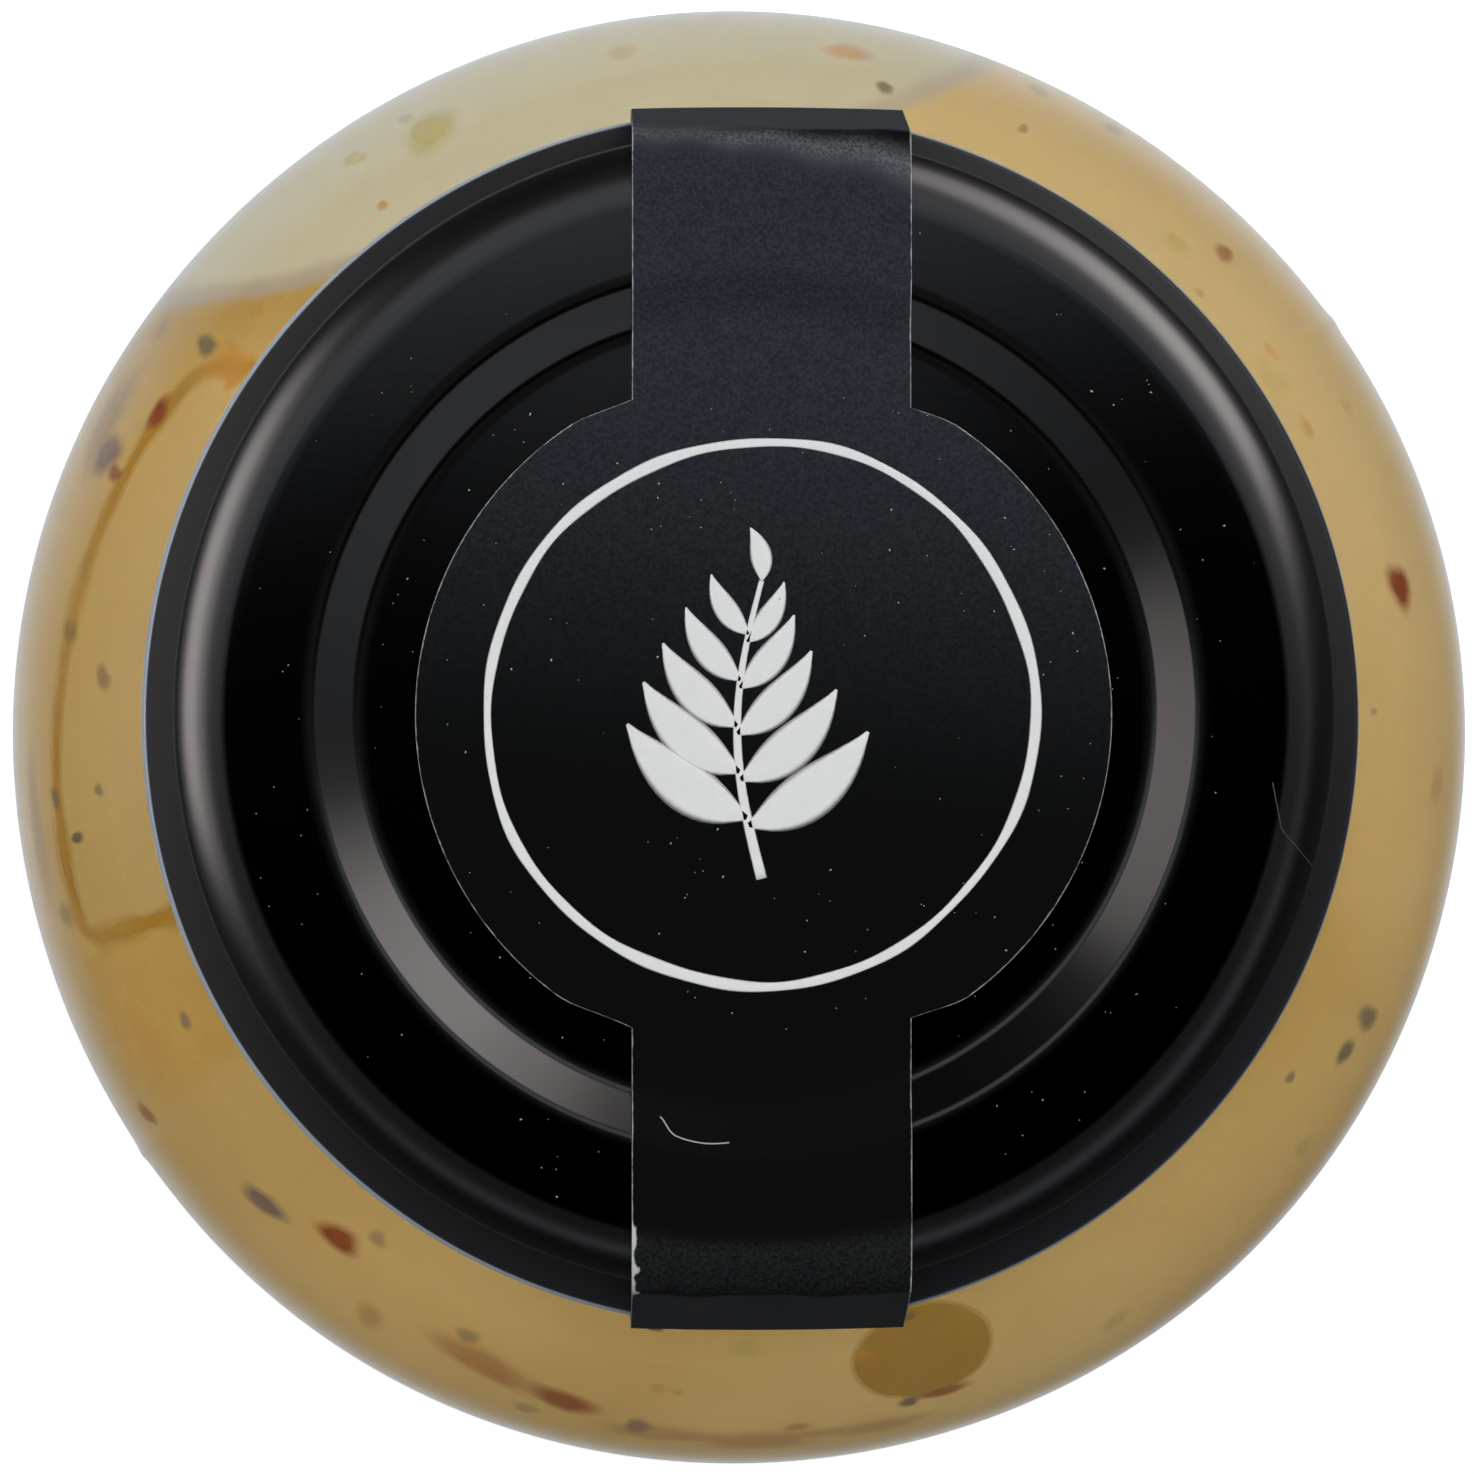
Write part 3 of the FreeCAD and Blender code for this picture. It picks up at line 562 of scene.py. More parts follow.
def herbs_and_vegetables():
    """Each kind of bit: the ones that show best on the shoulder, listed one by one, and the rest
    scattered.
    """
    kinds = {
        "red_pepper_bits": (
            ("#551f08", "#6f3411"),
            [
                (12.6, 29.1, 1.95, 1.9, 0, 1.0), (44.8, 26.9, 0.95, 1.5, 0, 0.65),
                (151.3, 32.2, 1.6, 1.3, 0, 0.95), (157.5, 28.1, 0.85, 1.1, 0, 0.8),
                (231.5, 37.3, 1.9, 1.75, 12, 0.95), (237.5, 24.1, 1.5, 2.0, 0, 0.35),
                (212.6, 18.0, 1.4, 1.0, 15, 0.7), (355.8, 20.7, 1.6, 1.5, 0, 0.25),
                (274.7, 22.0, 1.1, 0.8, 0, 0.45), (255.2, 24.1, 3.4, 1.6, -10, 0.85),
                (287.1, 24.6, 2.6, 0.8, 0, 0.8), (247.8, 27.2, 5.4, 2.2, -12, 0.5),
                (263.0, 18.5, 5.0, 1.7, 0, 0.35), (271.5, 17.0, 6.5, 1.9, 0, 0.4),
                (281.0, 17.5, 5.0, 1.5, 0, 0.35),
            ],
            110, (0.4, 2.0),
        ),
        "purple_onion_bits": (
            ("#503a2a", "#62504a"),
            [
                (156.2, 23.1, 2.1, 2.2, -25, 0.9), (224.6, 30.9, 2.3, 1.4, 8, 0.95),
                (58.4, 12.7, 1.1, 1.7, 0, 0.4), (145.0, 17.0, 1.0, 1.3, 0, 0.35),
                (261.5, 20.6, 1.2, 1.5, 0, 0.65), (153.5, 17.0, 6.0, 2.4, 0, 0.5),
                (188.0, 15.5, 6.0, 1.8, 0, 0.35),
                (175.2, 38.9, 1.15, 0.95, 25, 0.65), (207.5, 42.3, 0.9, 0.6, 0, 0.75),
                (234.3, 42.9, 1.0, 0.9, 20, 0.5),
            ],
            130, (0.4, 2.2),
        ),
        "dark_herb_bits": (
            ("#483d29", "#584e39"),
            [
                (144.1, 33.6, 1.0, 1.6, 0, 0.9), (332.2, 26.6, 1.4, 1.05, 0, 0.9),
                (335.6, 24.7, 1.3, 1.65, -20, 0.85), (189.0, 30.2, 0.55, 0.9, 0, 1.0),
                (185.2, 37.7, 0.6, 0.6, 0, 0.6), (185.4, 24.6, 1.05, 0.7, 0, 0.7),
                (327.8, 37.0, 0.7, 0.55, 0, 0.7), (171.4, 28.1, 0.95, 1.3, 0, 0.5),
                (77.5, 33.3, 0.8, 0.95, 0, 0.8), (65.0, 31.5, 0.5, 0.85, 0, 0.5),
                (284.1, 24.3, 0.8, 1.0, 0, 0.9), (261.6, 47.8, 0.85, 0.4, 0, 0.8),
                (285.8, 46.6, 0.8, 0.45, 0, 0.7), (1.8, 41.0, 0.4, 0.45, 0, 0.4),
                (43.8, 40.4, 0.55, 0.5, 0, 0.35), (245.6, 33.3, 1.3, 0.9, 12, 0.5),
                (252.3, 17.5, 1.2, 1.2, 0, 0.4), (195.0, 20.4, 1.1, 1.3, 0, 0.45),
                (118.5, 19.8, 0.8, 0.9, 0, 0.4), (65.2, 13.4, 1.1, 1.6, 0, 0.35),
            ],
            170, (0.25, 1.3),
        ),
        "green_herb_bits": (
            ("#7b6f36", "#8d7f44"),
            [
                (117.3, 28.0, 2.7, 2.8, 0, 0.8), (123.9, 23.1, 1.2, 1.25, 0, 0.7),
                (48.5, 35.2, 1.6, 1.2, 0, 0.55), (264.3, 33.1, 0.6, 0.6, 0, 0.7),
                (323.7, 20.9, 1.2, 1.35, 0, 0.5), (302.6, 21.9, 1.3, 1.4, 0, 0.45),
                (33.9, 39.3, 2.2, 1.5, 0, 0.3), (28.4, 24.5, 1.1, 0.9, 0, 0.35),
                (270.5, 44.8, 1.7, 1.2, 0, 0.4),
            ],
            140, (0.35, 1.7),
        ),
        "orange_spice_bits": (
            ("#83541c", "#9b6a28"),
            [
                (81.1, 23.7, 2.4, 1.4, -12, 0.6), (124.3, 39.8, 0.65, 0.6, 0, 0.65),
                (138.9, 38.5, 0.8, 0.8, 0, 0.45), (144.2, 41.5, 2.1, 2.6, 0, 0.6),
                (145.8, 44.3, 0.9, 0.75, 0, 0.7), (247.8, 25.4, 2.4, 0.7, -12, 0.3),
                (262.6, 33.5, 0.85, 0.7, 0, 0.5), (35.7, 35.7, 0.8, 0.65, 0, 0.45),
                (28.3, 38.4, 1.2, 0.65, 0, 0.45), (99.9, 23.2, 1.5, 1.5, 0, 0.3),
                (207.2, 31.3, 3.6, 2.0, 0, 0.3), (281.0, 39.9, 1.0, 0.95, 0, 0.5),
            ],
            120, (0.3, 1.5),
        ),
    }
    for number, (name, (tones, chosen, count, sizes)) in enumerate(kinds.items()):
        rest = scattered(count, 40 + number, *sizes)
        material = bit_material(name.removesuffix("s"), *tones, 0.6 * MM)
        crumbs(name, material, np.vstack((chosen, rest)), 60 + number)


def oil_drops():
    """Drops of oil that lie against the glass: clear amber, with hardly any soft edge."""
    material = bit_material("mustard_oil", "#73541a", "#7c5c20", 3 * MM, soft=0.16)
    chosen = [(286.3, 37.0, 4.9, 4.9, 0, 0.9)]
    rest = scattered(14, 51, 1.2, 4.0, 1.2)
    crumbs(
        "oil_drops", material, np.vstack((chosen, rest)), 71,
        rings=(0.4, 0.7, 0.85, 0.93, 1.0), steps=48, ragged=0.04,
    )


def oil_sheet(name, turn, way, lift, material, core, shown):
    """A thin layer of oil on the dressing's skin. Its outside rises by lift, its underside lies just
    in the skin and is left clear."""
    upper, under = (on_wall(turn, way, height)[:, ::-1] for height in (lift, -BIT_SUNK))
    points, faces = sheet(upper, under)
    core, shown = (np.concatenate((part[:, ::-1], 0 * part), axis=1) for part in (core, shown))
    in_skin(piece(name, points, faces, material, "dressing", core=core, clear=shown))


def oil_film():
    """Oil along one side of the shoulder: an amber line round a patch, and a thin golden film beside
    it. The line goes through a row of stops, each an angle round the axis and a lean, and its point
    (along, across) lies across times half its width beside it. The film's angle and lean each grow
    evenly with one parameter."""
    stops = np.array([
        (143.6, 50), (143.8, 45.7), (144.7, 40.1), (147.1, 35.5), (150.6, 33.7), (156.5, 31.5),
        (163.5, 29.6), (170.4, 28.0), (178.4, 26.2), (186.3, 25.2), (192.5, 25.0), (196.6, 25.6),
        (197.7, 29.5), (197.8, 35), (197.9, 42.4), (198.0, 50),
    ])
    spots = np.linspace(0, len(stops) - 1, 140)
    turn, lean = (np.interp(spots, np.arange(len(stops)), column) for column in stops.T)
    kernel = np.ones(7) / 7
    turn, lean = (np.convolve(np.pad(part, 3, "edge"), kernel, "valid") for part in (turn, lean))
    radius = FILL_WIDE - FILL_BEND + FILL_BEND * np.cos(np.radians(lean))
    ahead = np.gradient(np.radians(turn)) * radius + 1j * np.gradient(np.radians(lean)) * FILL_BEND
    beside = 1j * ahead / np.abs(ahead)
    wander = 1 + 0.16 * np.sin(spots * 2.1) + 0.1 * np.sin(spots * 4.7 + 1)
    across = np.linspace(-1, 1, 7)[None, :]
    off = across * (beside * wander * 0.72 * MM)[:, None]
    way = (np.radians(lean) * FILL_BEND)[:, None] + off.imag
    turn = np.radians(turn)[:, None] + off.real / radius[:, None]
    shown = 0.85 + 0.15 * np.sin(spots * 1.3 + 2)[:, None] + 0 * off.real
    core = 1 - np.abs(across) + 0 * off.real
    amber = bit_material("amber_oil", "#775416", "#815f1c", 2 * MM, soft=0.9)
    oil_sheet("oil_line", turn, way, 0.03 * MM, amber, core, shown)

    along, up = np.meshgrid(np.linspace(0, 1, 40), np.linspace(0, 1, 30), indexing="ij")
    film_turn = np.radians(197.9 + 19 * along)
    film_way = np.radians(19.5 + 31 * up) * FILL_BEND
    edge = smooth(along, 0, 0.1) * smooth(1 - along, 0, 0.5) * smooth(up, 0, 0.25)
    gold = bit_material("golden_oil", "#8a6424", "#95702c", 5 * MM)
    oil_sheet("golden_film", film_turn, film_way, 0.015 * MM, gold, edge, 0.3 + 0.15 * up)


# ---- Cap


def lacquered_tinplate():
    """Tinplate under black gloss lacquer: deep black and smooth on the flats, a little duller where
    the sheet was drawn round the ring and the corner, and dull grey down the skirt and the curl.
    "dull" holds how far the metal was worked: 0 on the flats, up to 0.5 on the bends and 1 below.
    The second attribute is a painted highlight: a pale bluish line along the cap's widest edge, brighter
    towards -X."""
    material, tree, surface = new_material("black_lacquered_tinplate", IOR=1.5)
    where = add(tree, "ShaderNodeTexCoord").outputs["Object"]
    peel = add(tree, "ShaderNodeTexNoise", {"Scale": 1 / (0.35 * MM), "Detail": 2.0}, {"Vector": where})
    bump = add(
        tree, "ShaderNodeBump", {"Strength": 0.03, "Distance": 0.01 * MM},
        {"Height": peel.outputs["Fac"]},
    )
    tree.links.new(bump.outputs["Normal"], surface.inputs["Normal"])
    dull = add(tree, "ShaderNodeAttribute", attribute_name="dull").outputs["Fac"]
    below = between(tree, dull, 0.75, 1.0, 1.0)
    for socket, share, flat, worked in (
        ("Roughness", dull, 0.07, 0.5), ("Specular IOR Level", below, 0.5, 0.14)
    ):
        level = add(tree, "ShaderNodeMapRange", {"To Min": flat, "To Max": worked}, {"Value": share})
        tree.links.new(level.outputs["Result"], surface.inputs[socket])
    # A painted highlight: a pale bluish line along the cap's widest edge.
    bare = add(tree, "ShaderNodeAttribute", attribute_name="bare").outputs["Fac"]
    greyed = between(tree, dull, 0.2, 1.0, 1.0)
    tone = layered(tree, "#000000", (greyed, "#161618"), (bare, "#bcc7d2"))
    tree.links.new(tone, surface.inputs["Base Color"])
    return material


def cap_profile():
    """One drawn sheet, outside and inside: sunken panel, bevelled ring, land, corner and skirt, with
    the rolled curl as its lower edge."""
    slope = math.degrees(math.atan2(CAP_TOP - PANEL_Z, RING_OUT - RING_IN))
    bend = 0.55 * MM
    shift = bend * math.tan(math.radians(slope / 2))
    curl_r, curl_z = CAP_R - CURL, CAP_BOTTOM + CURL
    lip = 0.4 * MM
    return chain(
        run((0, PANEL_Z + 0.03 * MM), (RING_IN - 0.5 * MM, PANEL_Z), 14),
        arc(RING_IN - shift, PANEL_Z + bend, bend, -90, slope - 90, 5),
        arc(RING_OUT + shift, CAP_TOP - bend, bend, 90 + slope, 90, 5),
        run((RING_OUT + 0.5 * MM, CAP_TOP), (CORNER_R, CAP_TOP), 8),
        arc(CORNER_R, CORNER_Z, CORNER, 90, 90 - CORNER_TURN, 18),
        arc(SKIRT_R - CORNER_END, SKIRT_Z, CORNER_END, 90 - CORNER_TURN, 0, 8),
        run((SKIRT_R, SKIRT_Z - 0.5 * MM), (SKIRT_R, curl_z + 1.1 * MM), 8),
        arc(SKIRT_R + 0.2 * MM, curl_z + 0.95 * MM, 0.2 * MM, 180, 250, 5),
        arc(CAP_R - lip, curl_z + 0.16 * MM, lip, 66, 0, 12),
        arc(curl_r, curl_z, CURL, 0, -180, 24),
        run((SKIRT_R - SHEET, curl_z + 0.5 * MM), (SKIRT_R - SHEET, SKIRT_Z - 0.3 * MM), 8),
        arc(SKIRT_R - CORNER_END, SKIRT_Z, CORNER_END - SHEET, 0, 90 - CORNER_TURN, 4),
        arc(CORNER_R, CORNER_Z, CORNER - SHEET, 90 - CORNER_TURN, 90, 6),
        run((CORNER_R - 0.2 * MM, CAP_TOP - SHEET), (RING_OUT, CAP_TOP - SHEET), 3),
        run((RING_IN, PANEL_Z - SHEET), (0, PANEL_Z - SHEET + 0.03 * MM), 4),
    )[::-1]


def cap_relief(radius, height, turn):
    """The lugs: over each one's turn, the curl's inner half is pressed in towards the finish."""
    along = np.mod(turn, TAU / STARTS)
    edge = math.radians(5)
    pressed = smooth(along, 0, edge) * smooth(LUG_TURN - along, 0, edge)
    inner = smooth(CAP_R - CURL - radius, 0, CURL)
    outside = (radius > SKIRT_R - SHEET / 2) & (height > CAP_BOTTOM + CURL)
    low = smooth(CAP_BOTTOM + 1.9 * MM - height, 0, 0.4 * MM) * (radius > FINISH_R) * ~outside
    radius = radius - (SKIRT_R - 0.4 * MM - LUG_TIP) * pressed * inner * low
    return radius, height


def cap():
    """The cap: its sheet's profile, spun, with how far each place was worked, and a painted highlight
    along its widest edge.
    """
    points, faces = spin(cap_profile(), np.linspace(0, TAU, 288, endpoint=False), cap_relief)
    far = np.hypot(points[:, 0], points[:, 1])
    low = smooth(far, SKIRT_R - 0.15 * MM, SKIRT_R - 0.06 * MM)
    lip = smooth(far, CAP_R - 0.16 * MM, CAP_R - 0.1 * MM)
    corner = smooth(far, CORNER_R, CORNER_R + 0.3 * MM)
    ring = smooth(far, RING_IN - 0.3 * MM, RING_IN) * smooth(-far, -RING_OUT - 0.3 * MM, -RING_OUT)
    dull = np.maximum(low * (1 - lip), np.maximum(0.5 * corner * (1 - lip), 0.3 * ring))
    # A painted highlight along the cap's widest edge: a thin pale line, brighter towards -X, with a faint
    # glow just inside it.
    side = points[:, 0] / np.clip(far, MM, None)
    line = CAP_R - (0.1 - 0.06 * side) * MM
    bare = (0.75 - 0.2 * side) * smooth(far - line, -0.04 * MM, 0.02 * MM)
    bare = bare + 0.05 * smooth(far, CAP_R - 0.3 * MM, CAP_R - 0.06 * MM)
    material = lacquered_tinplate()
    piece("cap_lacquered_sheet", points, faces, material, "cap_metal", ["cap"], dull=dull, bare=bare)


# ---- Paper seal


def tight_path(stops, end_lean, step):
    """Where a strip lies that is pulled tight over and under a row of circles, each given as (radius,
    height, bend, side). Between two circles it is the line that touches both, and on a circle it is
    an arc. It ends on the last circle, at the given angle. The points lie about a step apart."""
    leans = []
    for (r1, z1, b1, s1), (r2, z2, b2, s2) in zip(stops, stops[1:]):
        length = math.hypot(r2 - r1, z2 - z1)
        share = min((s1 * b1 - s2 * b2) / length, 1.0)
        heading = math.atan2(z2 - z1, r2 - r1) - math.asin(share)
        leans.append(math.degrees(heading) + 90)
    bends = [
        arc(r, z, side * bend, before, after, 16)
        for (r, z, bend, side), before, after in zip(stops[1:], leans, (*leans[1:], end_lean))
    ]
    rough = chain([stops[0][:2]], *bends)
    along = np.r_[0, np.cumsum(np.hypot(*np.diff(rough, axis=0).T))]
    even = np.linspace(0, along[-1], int(along[-1] / step))
    return np.column_stack([even] + [np.interp(even, along, column) for column in rough.T])


def seal_path():
    """The strip's own line from the cap's centre, over its edge and the bead, to the throat, as the
    way along it, the radius and the height."""
    soft = 2 * MM
    stops = (
        (0, PANEL_Z, 0, 1),
        (RING_IN - 0.43 * MM, PANEL_Z + soft, soft, -1),
        (RING_OUT + 0.26 * MM, CAP_TOP - 1.2 * MM, 1.2 * MM, 1),
        (CORNER_R, CORNER_Z, CORNER, 1),
        (SKIRT_R - CORNER_END, SKIRT_Z, CORNER_END, 1),
        (CAP_R - CURL, CAP_BOTTOM + CURL, CURL, 1),
        (BEAD_R + soft, (BEAD_LOW + BEAD_TOP) / 2, soft, -1),
        (BEAD_R - BEAD_ROUND, BEAD_LOW + BEAD_ROUND, BEAD_ROUND, 1),
        (NECK_R + soft, BEAD_LOW - soft, soft, -1),
        (NECK_R + THROAT_ROUND, THROAT_Z, THROAT_ROUND, -1),
    )
    return tight_path(stops, 35, 0.25 * MM)


def lie_on_cap(x, way):
    """The paper's underside at a place of the flat strip. The rows are straight on the panel. They
    bend round the axis over the ring, as y is the root of the radius' square less x's square; past
    the cap's edge, where stiff paper stands off the round, they are nearly straight again."""
    path = seal_path()
    spread = np.abs(way)
    radius, height = (np.interp(spread, path[:, 0], path[:, column]) for column in (1, 2))
    bent = smooth(spread, 10.5 * MM, 14.0 * MM) * (1 - 0.86 * smooth(spread, 18.5 * MM, 21.8 * MM))
    below = smooth(-height, -BEAD_TOP, -BEAD_LOW) * (spread > 20 * MM)
    bent = np.maximum(bent, below)
    deep = radius - np.sqrt(np.clip(radius**2 - x**2, 0, None))
    side = np.sign(way)
    fold = np.exp(-(((spread - 22.5 * MM) / (1.8 * MM)) ** 2))
    puckers = np.sin(x / (0.8 * MM) + 2 * side) + 0.6 * np.sin(x / (0.37 * MM) + 1)
    y = side * (radius - bent * deep + 0.035 * MM * fold * puckers)
    cockle = np.sin(x / (2.1 * MM) + 1) * np.sin(way / (2.7 * MM))
    height = height + 0.012 * MM * cockle * smooth(spread, 10 * MM, 14 * MM)
    return np.stack((x, y, height), axis=-1)


def paper_up(points):
    """The direction out of the paper at each point of a grid of places on it."""
    along, across = np.gradient(points, axis=(0, 1))
    normal = np.cross(across, along)
    return normal / np.linalg.norm(normal, axis=-1, keepdims=True)


def charcoal_paper():
    """Matt charcoal paper: pressed fibres; painted sheen that makes it greyer towards the strap's top
    end and painted shade that makes it dark again over the top fold; a painted sheen band just below
    that fold and a faint one towards the bottom end; and a white core that shows where it is cut or torn."""
    material, tree, surface = new_material(
        "charcoal_paper", Roughness=0.55, IOR=1.45, Specular_IOR_Level=0.03
    )
    where = add(tree, "ShaderNodeTexCoord").outputs["Object"]
    grain = add(
        tree, "ShaderNodeTexNoise", {"Scale": 1 / (0.12 * MM), "Detail": 3.0}, {"Vector": where}
    ).outputs["Fac"]
    along = add(
        tree, "ShaderNodeVectorMath", {1: (0.12, 1, 0)}, {0: where}, operation="DOT_PRODUCT"
    ).outputs["Value"]
    broken = add(
        tree, "ShaderNodeTexNoise", {"Scale": 1 / (0.5 * MM), "Detail": 4.0, "Roughness": 0.7},
        {"Vector": where},
    ).outputs["Fac"]
    core, crease = (
        add(tree, "ShaderNodeAttribute", attribute_name=field).outputs["Fac"]
        for field in ("core", "crease")
    )
    crazed = between(tree, grain, 0.15, 0.8, 1.0)
    crease = add(tree, "ShaderNodeMath", links={0: crease, 1: crazed}, operation="MULTIPLY").outputs[0]
    bare = add(tree, "ShaderNodeMath", links={0: core, 1: broken}, operation="ADD").outputs[0]
    tone = layered(
        tree, "#070808",
        # Painted sheen, greyer towards the strap's top end, then painted shade, dark again over the top
        # fold.
        (between(tree, along, -4 * MM, 15 * MM, 1.0), "#2f343a"),
        (between(tree, along, 20.8 * MM, 21.8 * MM, 1.0), "#0a0b0c"),
        (between(tree, grain, 0.3, 0.7, 0.5), "#060707"),
        # Painted sheen below the top fold and towards the bottom end.
        (crease, "#6c7074"),
        (between(tree, bare, 0.9, 1.5, 1.0), "#b9bab8"),
    )
    tree.links.new(tone, surface.inputs["Base Color"])
    bump = add(tree, "ShaderNodeBump", {"Strength": 0.4, "Distance": 0.01 * MM}, {"Height": grain})
    tree.links.new(bump.outputs["Normal"], surface.inputs["Normal"])
    return material


def seal():
    """The paper as a closed sheet, die cut as a strap with a round middle. A point (way along,
    distance in from an edge) lies where the strap's and the disc's outlines, moved in by that
    distance, reach furthest out: the one is a straight line, the other a circle."""
    left, right = STRAP_X - STRAP_W / 2, STRAP_X + STRAP_W / 2
    path = seal_path()
    meets = np.array([math.sqrt(DISC_R**2 - (edge - DISC_X) ** 2) for edge in (left, right)])
    half = np.unique(np.concatenate((path[1:, 0], meets + DISC_Y, meets - DISC_Y)))
    way = np.r_[-half[::-1], 0, half][:, None]
    inset = np.array([0, 0.04, 0.08, 0.14, 0.22, 0.35, 0.6, 1.1]) * MM

    reach = np.sqrt(np.clip((DISC_R - inset) ** 2 - (way - DISC_Y) ** 2, 0, None))
    west = np.minimum(DISC_X - reach, left + inset)
    east = np.maximum(DISC_X + reach, right - inset)
    share = np.linspace(0, 1, 36)[1:-1]
    middle = west[:, -1:] + (east[:, -1:] - west[:, -1:]) * share
    x = np.hstack((west, middle, east[:, ::-1]))
    way = np.broadcast_to(way, x.shape)

    under = lie_on_cap(x, way)
    upper = under + PAPER * paper_up(under)
    points, faces = sheet(upper, under)

    inwards = np.concatenate((inset, np.full(x.shape[1] - 2 * len(inset), 9.0), inset[::-1]))
    ragged = 0.5 + 0.3 * np.sin(way / (0.16 * MM)) + 0.2 * np.sin(way / (0.071 * MM) + 1)
    torn = np.exp(-(((way + 20.9 * MM) / (1.5 * MM)) ** 6)) * (x < 0) * ragged
    worn = 0.6 * np.exp(-(((np.abs(way) - 22 * MM) / (0.9 * MM)) ** 2)) * ragged
    width = (0.06 + 0.3 * torn + 0.1 * worn) * MM
    core = np.clip(1 - inwards / width, 0, 1) ** 0.5 * (0.85 + 0.9 * torn + 0.5 * worn)
    core = np.concatenate((core, 0.3 + 0 * core[:, ::-1]), axis=1)
    # Painted sheen: a band slanting just below the top fold, and a faint lighter stretch towards the
    # bottom end.
    bow = way - (21.35 * MM - 0.13 * x + 0.1 * MM * np.sin(x / (0.5 * MM)))
    crease = 0.8 * np.exp(-((bow / (0.5 * MM)) ** 2))
    crease = crease + 0.1 * smooth(-way, 19.4 * MM, 20.1 * MM)
    crease = np.concatenate((crease, 0 * crease), axis=1)
    piece(
        "seal_paper_strap", points, faces, charcoal_paper(), "seal_paper", ["seal_label"],
        core=core, crease=crease,
    )


# ---- Print and traces


def stroke(line, width, thick, closed=False):
    """A line with a flat, low body: point (i, j) lies at the line's point i, sideways by half the
    width there times -1, -0.7, 0.7, 1, 0.7 and -0.7, and up by the thickness for the second and third."""
    after, before = (
        (np.roll(line, -1, axis=0), np.roll(line, 1, axis=0)) if closed
        else (np.r_[line[1:], line[-1:]], np.r_[line[:1], line[:-1]])
    )
    ahead = (after - before)[:, :2]
    ahead = ahead / np.linalg.norm(ahead, axis=1, keepdims=True)
    sideways = np.column_stack((-ahead[:, 1], ahead[:, 0], np.zeros(len(line))))
    over = np.array([-1, -0.7, 0.7, 1, 0.7, -0.7])[::-1]
    up = np.array([0, 1, 1, 0, -0.2, -0.2])[::-1] * thick
    half = np.broadcast_to(width, len(line))[:, None, None] / 2
    points = line[:, None] + sideways[:, None] * over[None, :, None] * half
    points = points + np.array((0, 0, 1.0)) * up[None, :, None]
    faces = [grid_faces(len(line), 6, True, closed)]
    if not closed:
        start = np.arange(6)[None]
        faces += [start[:, ::-1], start + (len(line) - 1) * 6]
    return points.reshape(-1, 3), faces


def joined(strokes):
    """Several strokes as one mesh's points and faces."""
    starts = np.cumsum([0] + [len(points) for points, _ in strokes])
    faces = [part + start for start, (_, parts) in zip(starts, strokes) for part in parts]
    return np.vstack([points for points, _ in strokes]), faces


def white_ink():
    """White screen ink on the paper: nearly opaque, thinner in patches where the paper shows."""
    material, tree, surface = new_material("white_screen_ink", Roughness=0.6, Specular_IOR_Level=0.3)
    where = add(tree, "ShaderNodeTexCoord").outputs["Object"]
    patches = add(
        tree, "ShaderNodeTexNoise", {"Scale": 1 / (0.35 * MM), "Detail": 3.0}, {"Vector": where}
    )
    tone = layered(tree, "#d2d3d3", (patches.outputs["Fac"], "#dcdddc"))
    tree.links.new(tone, surface.inputs["Base Color"])
    return material


# How thick the ink lies, and the height that it lies at.
INK = 0.015 * MM
PRINT_Z = PANEL_Z + PAPER + 0.004 * MM


def print_ring(ink):
    """A ring drawn by hand: its radius and its width wander by a few sines of the angle."""
    turn = np.linspace(0, TAU, 420, endpoint=False)
    wander = 0.07 * np.sin(2 * turn + 0.6) + 0.045 * np.sin(5 * turn + 2) + 0.02 * np.sin(11 * turn)
    radius = (10.08 + wander) * MM
    swell = 0.06 * np.sin(3 * turn + 1) + 0.045 * np.sin(8 * turn + 4) + 0.03 * np.sin(19 * turn + 2)
    line = np.column_stack(
        (0.22 * MM + radius * np.cos(turn), -0.11 * MM + radius * np.sin(turn), PRINT_Z + 0 * turn)
    )
    points, faces = stroke(line, (0.39 + swell) * MM, INK, closed=True)
    piece("print_ring", points, faces, ink, "seal_paper")


def leaf(start, heading, long, wide):
    """A leaf: half its width goes as the sine of the half circle times one less part of the way."""
    share = np.linspace(0.0, 1.0, 17)
    turn = math.radians(heading)
    bend = turn + 0.35 * (share - 0.3) * math.copysign(1, math.cos(turn))
    line = np.column_stack((np.cos(bend), np.sin(bend), 0 * share)) * long * share[:, None]
    width = wide * np.sin(math.pi * np.clip(share, 0.02, 0.985)) ** 0.8 * (1.25 - 0.5 * share)
    return stroke(np.array(start) + line, width, INK)


def print_sprig(ink):
    """A sprig of herb, for the lettering: a bowed stem with leaves in pairs that get smaller upwards."""
    share = np.linspace(0, 1, 40)
    stem = np.column_stack(
        (0.25 * MM - 0.9 * MM * np.sin(math.pi * share), (-6.2 + 11.0 * share) * MM, PRINT_Z + 0 * share)
    )
    strokes = [stroke(stem, (0.42 - 0.22 * share) * MM, INK)]
    for number, place in enumerate((7, 13, 19, 25, 31)):
        long = (5.6 - 0.75 * number) * MM
        for side in (0, 1):
            heading = (180 - 24 - 5 * number) if side else (24 + 5 * number)
            strokes.append(leaf(stem[place + side], heading, long, long * 0.34))
    strokes.append(leaf(stem[-1], 88, 2.0 * MM, 0.8 * MM))
    points, faces = joined(strokes)
    piece("print_sprig", points, faces, ink, "seal_paper")


